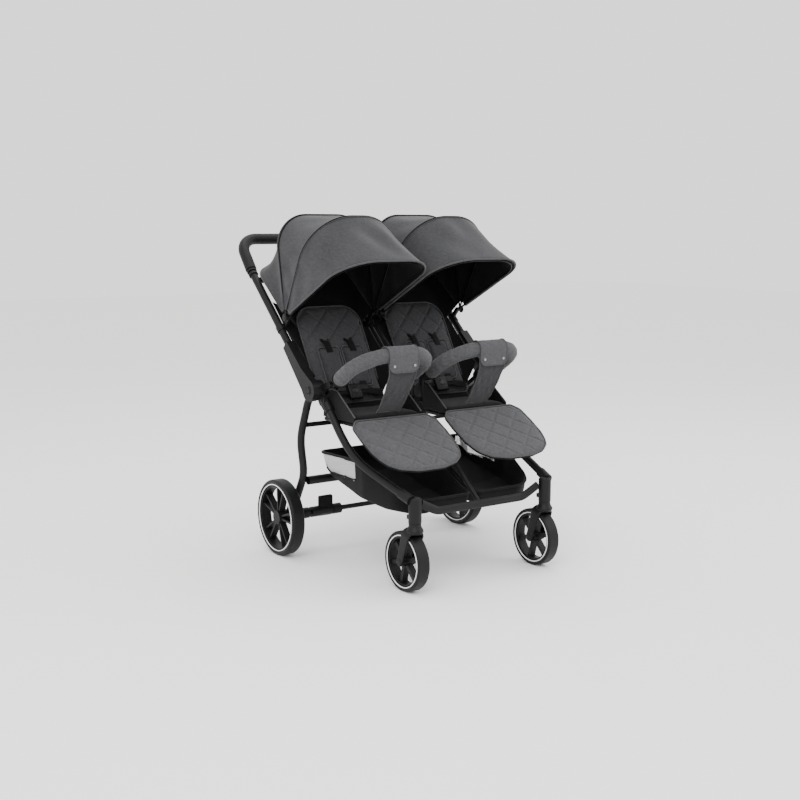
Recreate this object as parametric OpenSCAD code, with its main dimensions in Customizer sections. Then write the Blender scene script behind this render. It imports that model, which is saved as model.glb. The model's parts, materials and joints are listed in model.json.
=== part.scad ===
// Side-by-side twin stroller: folding tube frame, two reclining seats, two canopies,
// two bumper bars, swivelling front casters and braked rear wheels.
// Millimetres, +Z up, the front faces -Y, the floor is z = 0 and x = 0 is the mirror plane.
// Left is the -X side. The folding hinge is the reference for the whole frame.

/* [Overall] */
// Distance between the centres of the rear tyres
rear_track = 710; // [600:5:860]
// Distance between the two swivel axes
front_track = 484; // [400:2:580]
// Distance from the front axle to the rear axle
wheelbase = 544; // [450:2:660]
// Rear axle behind the middle of the stroller
rear_axle_y = 162.5; // [120:0.5:230]
// Distance between the centre lines of the two seats
seat_pitch = 334; // [300:1:400]

/* [Fold hinge] */
// Hinge axis ahead of the rear axle
hinge_ahead = 178; // [150:1:210]
// Height of the hinge axis
hinge_z = 547; // [500:1:620]
// Lean of the upper frame above the horizontal
upper_lean = 42.1; // [35:0.1:60]
// Diameter of the outer hinge pins
hinge_pin_d = 10; // [8:0.5:14]
// Radius of the hinge discs
hinge_disc_r = 30; // [26:1:32]
// Distance of the upper tubes from the mirror plane
upper_tube_x = 337; // [290:1:410]

/* [Tubes] */
// Diameter of the upper and front tubes
tube_d = 24; // [18:1:28]
// Wall of every tube
tube_wall = 1.5; // [1:0.1:2.5]
// Diameter of the rear legs
leg_d = 24; // [18:1:26]
// Diameter of the centre tubes
centre_tube_d = 14; // [12:1:16]
// Diameter of the rear cross bar
cross_bar_d = 27; // [18:1:32]
// Length of the upper tubes from the hinge to the handle collars
upper_length = 510; // [420:1:600]

/* [Handle] */
// Diameter of the padded grip
grip_d = 36; // [32:1:40]
// Length of the handle arms above the collars
handle_arm = 139; // [110:1:160]
// Radius of the handle bends
handle_bend_r = 60; // [50:1:80]
// Extra lean of the handle above the upper tubes
handle_kick = 8; // [0:1:15]

/* [Wheels] */
// Outside diameter of the rear tyres
rear_wheel_d = 242; // [200:1:300]
// Width of the rear tyres
rear_tyre_w = 44; // [34:1:46]
// Outside diameter of the front tyres
front_wheel_d = 176; // [150:1:200]
// Width of the front tyres
front_tyre_w = 40; // [30:1:42]
// Distance from the swivel axis back to the front axle
caster_trail = 39; // [25:1:50]
// Diameter of the rear stub axles
stub_d = 12; // [8:0.5:13]
// Height of the top of the swivel housings
housing_top_z = 280; // [265:1:310]
// Diameter of the swivel housings
housing_d = 38; // [34:1:44]

/* [Seats] */
// Height of the seat cushion's top
seat_z = 482; // [474:1:490]
// Width of each seat cushion
seat_w = 236; // [200:1:236]
// Depth of each seat cushion
seat_depth = 189; // [160:1:190]
// Thickness of the seat cushions
seat_pad_t = 22; // [14:1:24]
// Width of each backrest
back_w = 244; // [220:1:244]
// Length of each backrest
back_len = 347; // [280:1:350]
// Thickness of each backrest
back_t = 30; // [20:1:34]
// Slope of the backrests above the horizontal
back_lean = 59.7; // [50:0.1:70]
// Length of each leg rest
leg_rest_len = 248; // [200:1:255]
// Width of each leg rest
leg_rest_w = 306; // [240:1:308]
// Thickness of each leg rest
leg_rest_t = 16; // [10:1:20]
// Slope of the leg rests below the horizontal
leg_rest_drop = 30; // [25:1:34]

/* [Bumper bars] */
// Width of each bumper bar between the centres of its ends
bumper_w = 262; // [230:1:264]
// Reach of each bumper bar from its pivots
bumper_reach = 181; // [150:1:190]
// Rise of the bumper bars above the horizontal
bumper_rise = 31.7; // [25:0.1:40]
// Diameter of the bumper bar's ends
bumper_d = 24; // [20:1:24]
// Diameter of the padded sleeve
sleeve_d = 40; // [32:1:42]

/* [Canopies] */
// Width of each canopy
canopy_w = 332; // [312:1:332]
// Canopy pivots ahead of the upper tubes
pivot_offset = 52; // [48:0.5:60]
// Canopy pivots along the upper tubes from the hinge
pivot_along = 256; // [220:0.5:290]
// Radius of the rear hoop
hoop_r = 320; // [290:1:330]
// Radius of the middle bow
mid_r = 349.5; // [320:0.5:360]
// Radius of the front bow
front_r = 401; // [360:1:410]
// Thickness of the canopy fabric
cloth_t = 2.5; // [2:0.1:3]

/* [Fits] */
// Running clearance of pins in their bores
run_fit = 0.05; // [0.02:0.01:0.1]
// Gap between parts that turn or sit beside each other
side_gap = 0.3; // [0.2:0.05:0.5]

/* [Hidden] */
$fn = 48;

frame_colour = [0.13, 0.13, 0.14];
plastic_colour = [0.10, 0.10, 0.11];
cloth_colour = [0.34, 0.34, 0.35];
lining_colour = [0.06, 0.06, 0.07];
tyre_colour = [0.11, 0.11, 0.11];
steel_colour = [0.62, 0.63, 0.65];

// Places along the stroller
front_axle_y = rear_axle_y - wheelbase;
swivel_y = front_axle_y - caster_trail;
hinge_y = rear_axle_y - hinge_ahead;
rear_axle_z = rear_wheel_d / 2;
front_axle_z = front_wheel_d / 2;
swivel_x = front_track / 2;
rear_wheel_x = rear_track / 2;
seat_x = seat_pitch / 2;

// Layers across the outer hinge, from the tyre inwards: cover, base, eye of the rear leg
layer_gap = 0.4;
cover_t = 21;
base_t = 21.5;
eye_t = 18.5;
tyre_inner_x = rear_wheel_x - rear_tyre_w / 2;
cover_x = upper_tube_x - 6;
cover_outer_x = cover_x + cover_t;
base_outer_x = cover_x - layer_gap;
base_x = base_outer_x - base_t;
eye_outer_x = base_x - layer_gap;
eye_x = eye_outer_x - eye_t;
sleeve_wide = tube_d + 6;
sleeve_inner_x = upper_tube_x - sleeve_wide / 2;
front_tube_x = base_x + 1;
leg_x = tyre_inner_x - 5 - leg_d / 2;
leg_inner_x = leg_x - leg_d / 2;

// Unit vectors of the upper frame in the Y-Z plane
up_y = cos(upper_lean);
up_z = sin(upper_lean);
out_y = -sin(upper_lean);
out_z = cos(upper_lean);

// A point at a distance along the upper tubes and a distance ahead of them
function upper_at(along, ahead) =
    [hinge_y + up_y * along + out_y * ahead, hinge_z + up_z * along + out_z * ahead];

pivot = upper_at(pivot_along, pivot_offset);
collar = upper_at(upper_length, 0);
handle_lean = upper_lean + handle_kick;

// Front tube, from the hinge base to the swivel housing, as [x, y, z] for the right side
front_hinge = [front_tube_x, hinge_y, hinge_z];
front_knee = [front_tube_x - 14, hinge_y - 156, hinge_z - 189];
front_end = [swivel_x + 16, swivel_y + 22, housing_top_z];
front_way = unit(minus(front_knee, front_hinge));
front_start = front_hinge + front_way * 40;
front_bend_r = 300;

// Rear leg, from below the hinge to the axle block, as [y, z], and the radii of its bends
leg_path = [[hinge_y + 38, hinge_z - 25], [hinge_y + 62, hinge_z - 41], [hinge_y + 115, hinge_z - 167],
    [hinge_y + 92, hinge_z - 277], [rear_axle_y - 9, rear_axle_z + 16]];
leg_bends = [60, 120, 80];

seat_front_y = rear_axle_y - 345;
seat_back_y = seat_front_y + seat_depth;
seat_base_z = seat_z - seat_pad_t;
wing_t = 2.5;
rail_d = 12;
rail_z = seat_base_z - side_gap - rail_d / 2;
back_hinge = [hinge_y + 28, seat_z + 10];
leg_hinge = [seat_front_y - 2, seat_z - 10];
bumper_pivot = [hinge_y - 68, hinge_z + 22];
bumper_pin_d = 8;
bracket_t = 6;
upright_x = centre_tube_d / 2 + 2;
cross_along = 474;
support_bar = [hinge_y + 94, hinge_z - 122];
rear_bar = [hinge_y + 92, hinge_z - 299];
stem_d = 12;
housing_h = 73;
housing_z = housing_top_z - housing_h;
cross_tube_y = swivel_y + 6;
cross_tube_z = housing_top_z - 50;
inner_bumper_x = seat_x - bumper_w / 2;
outer_bumper_x = seat_x + bumper_w / 2;

// ---------------------------------------------------------------- helpers

function side_name(s) = s < 0 ? "left" : "right";
function minus(a, b) = [for (i = [0 : len(a) - 1]) a[i] - b[i]];
function unit(v) = v / norm(v);

// Runs the children for both sides of the mirror plane
module both() {
    children();
    mirror([1, 0, 0]) children();
}

// Puts a child drawn for the right side on side s
module on_side(s) {
    if (s < 0) mirror([1, 0, 0]) children();
    else children();
}

// A cylinder along X between two distances from the mirror plane, at [y, z]
module x_rod(at, x0, x1, d) {
    translate([min(x0, x1), at[0], at[1]]) rotate([0, 90, 0]) cylinder(h = abs(x1 - x0), d = d);
}

// A bar along X between two [y, z] points: two round ends and a slightly narrower web
module x_link(a, b, x0, x1, d) {
    run = norm(b - a);
    web = d - 1;
    inset = 0.4;
    x_rod(a, x0, x1, d);
    x_rod(b, x0, x1, d);
    translate([min(x0, x1) + inset, a[0], a[1]]) rotate([atan2(b[1] - a[1], b[0] - a[0]), 0, 0])
        translate([0, 0, -web / 2]) cube([abs(x1 - x0) - 2 * inset, run, web]);
}

// Turn at corner i of a flat path, positive to the left
function turn_at(p, i) =
    let (u = minus(p[i], p[i - 1]), v = minus(p[i + 1], p[i]))
    atan2(u[0] * v[1] - u[1] * v[0], u * v);
function tangent_at(p, i, r) =
    (i == 0 || i == len(p) - 1) ? 0 : r * tan(abs(turn_at(p, i)) / 2);

// A 2-D child carried along a flat path in the XY plane, with every corner rounded to radius r.
// The child's X is the side of the path in the plane and its Y is the plane's normal.
module run_along(p, r) {
    for (i = [0 : len(p) - 2]) {
        u = unit(minus(p[i + 1], p[i]));
        a = tangent_at(p, i, r);
        b = tangent_at(p, i + 1, r);
        heading = atan2(u[1], u[0]);
        translate([p[i][0] + u[0] * a, p[i][1] + u[1] * a, 0]) rotate([0, 0, heading])
            rotate([90, 0, 90]) linear_extrude(norm(minus(p[i + 1], p[i])) - a - b) children();
        if (i < len(p) - 2) {
            turn = turn_at(p, i + 1);
            way = turn > 0 ? 1 : -1;
            bend = [p[i + 1][0] - u[0] * b, p[i + 1][1] - u[1] * b];
            centre = [bend[0] - u[1] * r * way, bend[1] + u[0] * r * way];
            translate([centre[0], centre[1], 0])
                rotate([0, 0, way > 0 ? heading - 90 : heading + 90 + turn])
                    rotate_extrude(angle = abs(turn), $fn = 96) translate([r, 0]) children();
        }
    }
}

// The annulus of a round tube
module tube_section(d) {
    difference() {
        circle(d = d, $fn = 48);
        circle(d = d - 2 * tube_wall, $fn = 48);
    }
}

// Stations [point, direction] along a path of 3-D points whose corners have the radii in r
function corner_stations(a, b, c, r) =
    let (u = unit(b - a), v = unit(c - b), turn = acos(u * v), t = r * tan(turn / 2),
        n = unit(v - u * (u * v)), steps = max(2, ceil(turn / 8)))
    [for (k = [0 : steps]) let (f = turn * k / steps)
        [b - u * t + u * r * sin(f) + n * r * (1 - cos(f)), u * cos(f) + n * sin(f)]];
function stations(p, r) =
    let (n = len(p) - 1)
    concat([[p[0], unit(p[1] - p[0])]],
        [for (i = [1 : n - 1]) each corner_stations(p[i - 1], p[i], p[i + 1], r[i - 1])],
        [[p[n], unit(p[n] - p[n - 1])]]);

// A bent oval tube along stations that lie in one plane: w across in the plane, h along its normal
tube_sides = 28;
module swept_tube(at, normal, w, h, wall) {
    n = tube_sides;
    m = len(at);
    points = [for (inset = [0, wall]) for (q = at) for (j = [0 : n - 1])
        q[0] + cross(normal, q[1]) * (w / 2 - inset) * cos(360 * j / n)
            + normal * (h / 2 - inset) * sin(360 * j / n)];
    function id(layer, k, j) = (layer * m + k) * n + j % n;
    skin = [for (k = [0 : m - 2]) for (j = [0 : n - 1]) each [
        [id(0, k, j), id(0, k + 1, j), id(0, k + 1, j + 1)], [id(0, k, j), id(0, k + 1, j + 1), id(0, k, j + 1)],
        [id(1, k, j), id(1, k + 1, j + 1), id(1, k + 1, j)], [id(1, k, j), id(1, k, j + 1), id(1, k + 1, j + 1)]]];
    ends = [for (j = [0 : n - 1]) each [
        [id(0, 0, j), id(0, 0, j + 1), id(1, 0, j + 1)], [id(0, 0, j), id(1, 0, j + 1), id(1, 0, j)],
        [id(0, m - 1, j), id(1, m - 1, j + 1), id(0, m - 1, j + 1)],
        [id(0, m - 1, j), id(1, m - 1, j), id(1, m - 1, j + 1)]]];
    polyhedron(points = points, faces = concat(skin, ends), convexity = 8);
}

// Places a child drawn with Y along the upper tubes and Z ahead of them
module on_upper(x = 0) {
    translate([x, hinge_y, hinge_z]) rotate([upper_lean, 0, 0]) children();
}

// A flat plate across X, given as [y, z] points
module x_plate(x0, x1, points) {
    translate([min(x0, x1), 0, 0]) rotate([90, 0, 90])
        linear_extrude(abs(x1 - x0)) polygon(points);
}

// ---------------------------------------------------------------- front frame

module front_tube(s) {
    normal = unit(cross(front_knee - front_start, front_end - front_knee));
    color(frame_colour) on_side(s)
        swept_tube(stations([front_start, front_knee, front_end], [front_bend_r]), normal,
            tube_d, tube_d, tube_wall);
}

// A low oval bar between the swivel housings, dropped in the middle
module front_cross_tube() {
    high = 25;
    step = 57;
    drop = 28;
    // The slanted end face leans towards the housing by half its height times the sine of its slope
    end_x = swivel_x - housing_d / 2 - side_gap - high / 2 * sin(atan2(drop, step));
    path = [for (q = [[-end_x, 0], [step - end_x, -drop], [end_x - step, -drop], [end_x, 0]])
        [q[0], cross_tube_y, cross_tube_z + drop + q[1]]];
    color(frame_colour) swept_tube(stations(path, [60, 60]), [0, 1, 0], high, 16, tube_wall);
}

// Straight tube from the middle hinge to the front cross tube, with the inner bumper brackets
centre_fall = unit([cross_tube_y + 6 - hinge_y, cross_tube_z - hinge_z]);
module centre_tube() {
    d = centre_tube_d;
    low = norm([cross_tube_y + 6 - hinge_y, cross_tube_z - hinge_z]) - 8;
    rise = atan2(centre_fall[1], centre_fall[0]);
    arm_at = [hinge_y, hinge_z] + centre_fall * 78;
    rod_x = upright_x + d / 2 + 1.5;
    lug_half = upright_x - d / 2 - side_gap;
    color(frame_colour) difference() {
        union() {
            translate([0, hinge_y, hinge_z]) rotate([rise, 0, 0]) {
                translate([0, 24, 0]) rotate([-90, 0, 0]) cylinder(h = low - 24, d = d);
                translate([-lug_half, 0, -6]) cube([2 * lug_half, 30, 12]);
            }
            x_rod([hinge_y, hinge_z], -lug_half, lug_half, 20);
            x_rod(arm_at, -rod_x - bracket_t - 1, rod_x + bracket_t + 1, 12);
            both() x_link(arm_at, bumper_pivot, rod_x, rod_x + bracket_t, 18);
            both() x_rod(bumper_pivot, rod_x, inner_bumper_x + bumper_d / 2 - 2, bumper_pin_d);
        }
        x_rod([hinge_y, hinge_z], -50, 50, 8 + 2 * run_fit);
    }
}

// Upright housing of the caster's stem, with the socket of the front tube
module swivel_housing(s) {
    color(plastic_colour) on_side(s) difference() {
        union() {
            translate([swivel_x, swivel_y, housing_z]) cylinder(h = housing_h - 4, d = housing_d);
            translate([swivel_x, swivel_y, housing_top_z - 4])
                cylinder(h = 4, d1 = housing_d, d2 = housing_d - 8);
            // Swivel lock at the back, low down
            translate([swivel_x - 9, swivel_y, housing_z + 8]) cube([18, housing_d / 2 + 9, 12]);
            along_front_tube() translate([0, 0, -22]) cylinder(h = 44, d = sleeve_wide);
        }
        along_front_tube() translate([0, 0, -side_gap]) cylinder(h = 60, d = tube_d + 2 * side_gap);
        translate([swivel_x, swivel_y, housing_z - 1])
            cylinder(h = housing_h - 17, d = stem_d + 2 * run_fit);
    }
}

// Z runs up the front tube from its end in the housing
module along_front_tube() {
    u = unit(front_knee - front_end);
    translate(front_end) rotate([0, acos(u[2]), atan2(u[1], u[0])]) children();
}

// Lower half of the outer hinge: disc, socket of the front tube, arm and pin of the bumper bar
module hinge_base(s) {
    color(plastic_colour) on_side(s) difference() {
        union() {
            x_rod([hinge_y, hinge_z], base_x, base_outer_x, 2 * hinge_disc_r);
            x_link([hinge_y, hinge_z], [front_start[1], front_start[2]], base_x, sleeve_inner_x - 1, 34);
            socket_frame() translate([0, 0, -3]) cylinder(h = 42, d = sleeve_wide);
            x_link([hinge_y, hinge_z], bumper_pivot, outer_bumper_x + bumper_d / 2 + 0.5,
                sleeve_inner_x - 1, 20);
            x_rod(bumper_pivot, outer_bumper_x - bumper_d / 2 + 2, sleeve_inner_x - 1, bumper_pin_d);
        }
        socket_frame() translate([0, 0, -side_gap]) cylinder(h = 60, d = tube_d + 2 * side_gap);
        x_rod([hinge_y, hinge_z], 0, 500, hinge_pin_d + 2 * run_fit);
    }
}
module socket_frame() {
    u = front_way;
    translate(front_start) rotate([0, acos(u[2]), atan2(u[1], u[0])]) children();
}

// Two outer hinge pins and the one in the middle
module hinge_pins() {
    color(steel_colour) {
        both() x_rod([hinge_y, hinge_z], eye_x - 1, cover_outer_x - 3, hinge_pin_d);
        x_rod([hinge_y, hinge_z], -upright_x - centre_tube_d / 2, upright_x + centre_tube_d / 2, 8);
    }
}

// ---------------------------------------------------------------- seats

// Welded tubes under the cushions, with standoffs to the front tubes
module seat_frame() {
    outer = seat_x + seat_w / 2 - rail_d / 2;
    inner = seat_x - seat_w / 2 + rail_d / 2;
    run = (hinge_z - rail_z) / (front_hinge[2] - front_knee[2]);
    beside = front_hinge + (front_knee - front_hinge) * run;
    color(frame_colour) {
        both() for (x = [inner, outer])
            translate([x, seat_back_y - 4, rail_z]) rotate([90, 0, 0]) cylinder(h = seat_depth - 14, d = rail_d);
        for (y = [seat_front_y + 12, seat_back_y - 12])
            x_rod([y, rail_z], -outer, outer, rail_d - 2);
        both() x_rod([beside[1], rail_z], outer, beside[0] - tube_d / 2 - side_gap, rail_d - 2);
    }
}

module seat_pad(s) {
    x0 = seat_x - seat_w / 2;
    round_r = 9;
    color(lining_colour) on_side(s) difference() {
        translate([x0, seat_front_y, seat_base_z]) cube([seat_w, seat_depth - 6, seat_pad_t]);
        // Rounded front edge
        translate([x0 - 1, seat_front_y - 1, seat_base_z + seat_pad_t - round_r]) difference() {
            cube([seat_w + 2, round_r + 1, round_r + 1]);
            translate([-1, round_r + 1, 0]) rotate([0, 90, 0]) cylinder(h = seat_w + 4, r = round_r);
        }
    }
}

// Fabric cheeks beside the cushions
module seat_wings() {
    outline = [[seat_back_y - 4, seat_base_z + 2], [hinge_y + 4, hinge_z - 10], [hinge_y - 30, hinge_z + 4],
        [hinge_y - 62, hinge_z], [seat_front_y + 6, seat_z - 4], [seat_front_y + 6, seat_base_z + 2]];
    color(lining_colour) both() for (e = [-1, 1])
        let (x = seat_x + e * (seat_w / 2 + 0.6 + wing_t / 2))
            x_plate(x - wing_t / 2, x + wing_t / 2, outline);
}

// Backrest: a firm panel with a rounded head, drawn upright and leaned on its hinge
module lean_back(s) {
    on_side(s) translate([seat_x, back_hinge[0], back_hinge[1]]) rotate([back_lean - 90, 0, 0]) children();
}
module backrest(s) {
    head_r = 60;
    color(cloth_colour) lean_back(s) translate([0, back_t, 0]) rotate([90, 0, 0])
        linear_extrude(back_t) union() {
            translate([-back_w / 2, 0]) square([back_w, back_len - head_r]);
            translate([-back_w / 2 + head_r, back_len - head_r - 1]) square([back_w - 2 * head_r, head_r + 1]);
            for (e = [-1, 1]) translate([e * (back_w / 2 - head_r), back_len - head_r]) circle(r = head_r);
        }
}

// Shoulder pads, belts and waist pads lying on the backrest
module harness(s) {
    pad_w = 52;
    pad_len = 105;
    pad_t = 12;
    pad_x = 44;
    color(lining_colour) lean_back(s) {
        for (e = [-1, 1]) {
            translate([e * pad_x - pad_w / 2, -pad_t - side_gap, 84]) cube([pad_w, pad_t, pad_len]);
            translate([e * pad_x - 12, -4 - side_gap, 190]) cube([24, 4, 22]);
        }
        translate([-80, -8 - side_gap, 22]) cube([160, 8, 46]);
        translate([-18, -13 - side_gap, 69]) cube([36, 13, 14]);
    }
}

// Leg rest: a tongue with rounded corners, hinged at the front of the seat
module leg_rest(s) {
    tip_r = 90;
    color(cloth_colour) on_side(s) translate([seat_x, leg_hinge[0], leg_hinge[1]])
        rotate([leg_rest_drop, 0, 0]) translate([0, 0, -leg_rest_t / 2]) linear_extrude(leg_rest_t) union() {
            translate([-leg_rest_w / 2, -leg_rest_len + tip_r]) square([leg_rest_w, leg_rest_len - tip_r - 3]);
            translate([-leg_rest_w / 2 + tip_r, -leg_rest_len]) square([leg_rest_w - 2 * tip_r, tip_r + 1]);
            for (e = [-1, 1]) translate([e * (leg_rest_w / 2 - tip_r), -leg_rest_len + tip_r]) circle(r = tip_r);
        }
}

// Bumper bar: a U-shaped bar bored at both ends, and its padded sleeve
bumper_bend_r = 100;
module bumper(s) {
    half = bumper_w / 2;
    end = 14;
    bar = [[-half, end], [-half, bumper_reach], [half, bumper_reach], [half, end]];
    padded = [[-half, 40], [-half, bumper_reach], [half, bumper_reach], [half, 40]];
    color(cloth_colour) on_side(s) translate([seat_x, bumper_pivot[0], bumper_pivot[1]])
        rotate([-bumper_rise, 0, 0]) mirror([0, 1, 0]) {
            difference() {
                union() {
                    run_along(bar, bumper_bend_r) circle(d = bumper_d, $fn = 48);
                    for (e = [-1, 1]) translate([e * half - bumper_d / 2, 0, 0]) {
                        rotate([0, 90, 0]) cylinder(h = bumper_d, d = bumper_d);
                        translate([0, 0, -bumper_d / 2]) cube([bumper_d, end + 1, bumper_d]);
                    }
                }
                translate([-half - bumper_d, 0, 0]) rotate([0, 90, 0])
                    cylinder(h = 2 * half + 2 * bumper_d, d = bumper_pin_d + 2 * run_fit);
            }
            run_along(padded, bumper_bend_r) difference() {
                circle(d = sleeve_d, $fn = 48);
                circle(d = bumper_d, $fn = 48);
            }
        }
}

// Fabric straps between the bumper bars and the cushions
module crotch_straps() {
    top_w = 98;
    low_w = 80;
    strap_t = 4;
    top = [bumper_pivot[0] - cos(bumper_rise) * bumper_reach,
        bumper_pivot[1] + sin(bumper_rise) * bumper_reach - sleeve_d / 2 - 2];
    low = [seat_front_y + 14, seat_z + 0.8];
    run = norm(top - low);
    color(cloth_colour) for (e = [-1, 1]) translate([e * seat_x, low[0], low[1]])
        rotate([atan2(top[1] - low[1], top[0] - low[0]) - 90, 0, 0])
            rotate([90, 0, 0]) translate([0, 0, -strap_t / 2]) linear_extrude(strap_t)
                polygon([[-low_w / 2, 0], [low_w / 2, 0], [top_w / 2, run], [-top_w / 2, run]]);
}

// ---------------------------------------------------------------- basket

// Two open tubs beside the centre tube, hung between the front tubes and the rear legs
basket_wall = 3;
module basket() {
    front = swivel_y + 38;
    back = rear_bar[0] - cross_bar_d / 2 - side_gap;
    color(lining_colour) both() difference() {
        intersection() {
            basket_side(front, back, 0);
            basket_plan(front, back, 0);
        }
        intersection() {
            basket_side(front, back, basket_wall);
            basket_plan(front, back, basket_wall);
        }
    }
}

// Side view of the tub: a sloping floor and a rim that rises to the back; w is the wall
module basket_side(front, back, w) {
    rim = w > 0 ? 60 : 0;
    x_plate(0, 300, [[front + w, 212 + w], [front + 70, 196 + w], [front + 230, 204 + w],
        [back - 90, 214 + w], [back - w, 244 + w], [back - w, 338 + rim], [front + 214, 350 + rim],
        [front + 120, 300 + rim], [front + w, 254 + rim]]);
}

// Plan of the tub: the outer side widens from the front to where the front tubes rise
module basket_plan(front, back, w) {
    inner = centre_tube_d / 2 + 4 + w;
    translate([0, 0, 150]) linear_extrude(300)
        polygon([[inner, front + w], [236 - w, front + w], [276 - w, front + 190], [276 - w, back - w],
            [inner, back - w]]);
}

// ---------------------------------------------------------------- upper frame

module upper_tube(s) {
    start = hinge_disc_r + 4;
    color(frame_colour) on_side(s) on_upper(upper_tube_x) translate([0, start, 0]) rotate([-90, 0, 0])
        linear_extrude(upper_length - start) tube_section(tube_d);
}

// Outer half of the hinge: a disc that narrows up the tube
module hinge_cover(s) {
    r = hinge_disc_r + 4;
    len = 190;
    color(plastic_colour) on_side(s) on_upper() difference() {
        union() {
            x_rod([0, 0], cover_x, cover_outer_x, 2 * r);
            x_rod([0, 0], cover_outer_x, cover_outer_x + 2, 22);
            x_plate(sleeve_inner_x, cover_outer_x,
                [[r, 6 - r], [len, -16], [len, 15], [70, 19], [r, 27]]);
            x_plate(cover_x, cover_outer_x, [[0, -r], [r + 6, 8 - r], [r + 6, 25], [0, r]]);
        }
        translate([upper_tube_x, r - side_gap, 0]) rotate([-90, 0, 0])
            cylinder(h = 300, d = tube_d + 2 * side_gap);
        x_rod([0, 0], 0, cover_outer_x - 2, hinge_pin_d + 2 * run_fit);
    }
}

// Two tubes between the seats, on the middle hinge, and the bar behind the seats
module centre_uprights() {
    d = centre_tube_d;
    color(frame_colour) {
        both() on_upper() difference() {
            union() {
                translate([upright_x, 8, 0]) rotate([-90, 0, 0])
                    cylinder(h = cross_along - 8, d = d);
                translate([upright_x - d / 2 + 1, 0, 0]) rotate([0, 90, 0]) cylinder(h = d - 2, d = 20);
            }
            rotate([0, 90, 0]) cylinder(h = 60, d = 8 + 2 * run_fit);
        }
        on_upper() translate([-upper_tube_x + tube_d / 2 + side_gap, cross_along, 0]) rotate([0, 90, 0])
            cylinder(h = 2 * upper_tube_x - tube_d - 2 * side_gap, d = 20);
    }
}

// Places a child with Y along the handle arms, from the collars
module on_handle() {
    translate([0, collar[0], collar[1]]) rotate([handle_lean, 0, 0]) children();
}
function handle_path(arm0) =
    [[-upper_tube_x, arm0], [-upper_tube_x, handle_arm], [upper_tube_x, handle_arm], [upper_tube_x, arm0]];

// U of tube inside the grip
module handle_bar() {
    color(frame_colour) on_handle() run_along(handle_path(8), handle_bend_r) tube_section(tube_d);
}
module handle_grip() {
    color(plastic_colour) on_handle() difference() {
        run_along(handle_path(12), handle_bend_r) difference() {
            circle(d = grip_d);
            circle(d = tube_d + 2 * side_gap);
        }
        translate([-42, handle_arm - 40, -30]) cube([84, 80, 60]);
    }
}
module handle_collars() {
    color(plastic_colour) both() {
        on_handle() translate([upper_tube_x, 0, 0]) rotate([-90, 0, 0]) {
            translate([0, 0, 2]) cylinder(h = 5.7, d = tube_d + 9);
            translate([0, 0, 8]) difference() {
                cylinder(h = 3.7, d = tube_d + 5);
                translate([0, 0, -1]) cylinder(h = 6, d = tube_d + 2 * side_gap);
            }
        }
        on_upper(upper_tube_x) translate([0, upper_length + 0.3, 0]) rotate([-90, 0, 0])
            cylinder(h = 1.5, d = tube_d + 4);
        on_upper(upper_tube_x) translate([0, upper_length - 14, 0]) rotate([-90, 0, 0]) difference() {
            cylinder(h = 8, d = tube_d + 7);
            translate([0, 0, -1]) cylinder(h = 10, d = tube_d + 2 * side_gap);
        }
    }
}

// Housing of the fold release in the middle of the handle
release_travel = 6;
module release_housing() {
    color(plastic_colour) on_handle() translate([0, handle_arm, 0]) difference() {
        rotate([0, 90, 0]) translate([0, 0, -40]) cylinder(h = 80, d = 40);
        rotate([0, 90, 0]) translate([0, 0, -41]) cylinder(h = 82, d = tube_d + 2 * side_gap);
        translate([-16, -22, -8]) cube([32, 10, 16]);
    }
}
module release_button() {
    color(steel_colour) on_handle() translate([0, handle_arm, 0])
        translate([-15.6, -22 - release_travel, -7.6]) cube([31.2, 9, 15.2]);
}

// Brackets from the tubes to the canopy pivots, each with its pin
module canopy_mounts() {
    layers = 3 * (strip_t + side_gap);
    color(plastic_colour) both() on_upper() {
        translate([0, pivot_along, 0]) {
            mount(upper_tube_x, tube_d, canopy_outer_x - cloth_t - side_gap - layers - 8, 8);
            mount(upright_x, centre_tube_d, canopy_inner_x + cloth_t + side_gap + layers, 4);
            translate([canopy_outer_x - cloth_t - side_gap - layers - 1, 0, pivot_offset])
                rotate([0, 90, 0]) cylinder(h = layers + 1, d = 4);
            translate([canopy_inner_x + cloth_t + side_gap, 0, pivot_offset])
                rotate([0, 90, 0]) cylinder(h = layers + 1, d = 4);
        }
    }
}
module mount(x, d, plate_x, plate_t) {
    foot_x = min(x, plate_x);
    difference() {
        union() {
            translate([x, -10, 0]) rotate([-90, 0, 0]) cylinder(h = 20, d = d + 5);
            translate([foot_x, -7, 0]) cube([max(x, plate_x + plate_t) - foot_x, 14, d / 2 + 6]);
            translate([plate_x, -7, 0]) cube([plate_t, 14, pivot_offset]);
            translate([plate_x, 0, pivot_offset]) rotate([0, 90, 0]) cylinder(h = plate_t, d = 14);
        }
        translate([x, -11, 0]) rotate([-90, 0, 0]) cylinder(h = 22, d = d + 2 * side_gap);
    }
}

// Fabric that fills the gaps between the backrests and the tubes, above and below the brackets
module side_panels() {
    panel_t = 2.5;
    edge_out = seat_x + back_w / 2 + 0.8;
    edge_in = seat_x - back_w / 2 - 0.8;
    below = [120, pivot_along - 14];
    above = [pivot_along + 14, 400];
    tube_in = upper_tube_x - tube_d / 2 - side_gap;
    upright_out = upright_x + centre_tube_d / 2 + side_gap;
    color(lining_colour) both() on_upper() {
        for (q = [[below, sleeve_inner_x - side_gap], [above, tube_in]])
            translate([edge_out, q[0][0], -panel_t / 2]) cube([q[1] - edge_out, q[0][1] - q[0][0], panel_t]);
        for (q = [below, above])
            translate([upright_out, q[0], -panel_t / 2]) cube([edge_in - upright_out, q[1] - q[0], panel_t]);
    }
}

// ---------------------------------------------------------------- canopies

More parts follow.
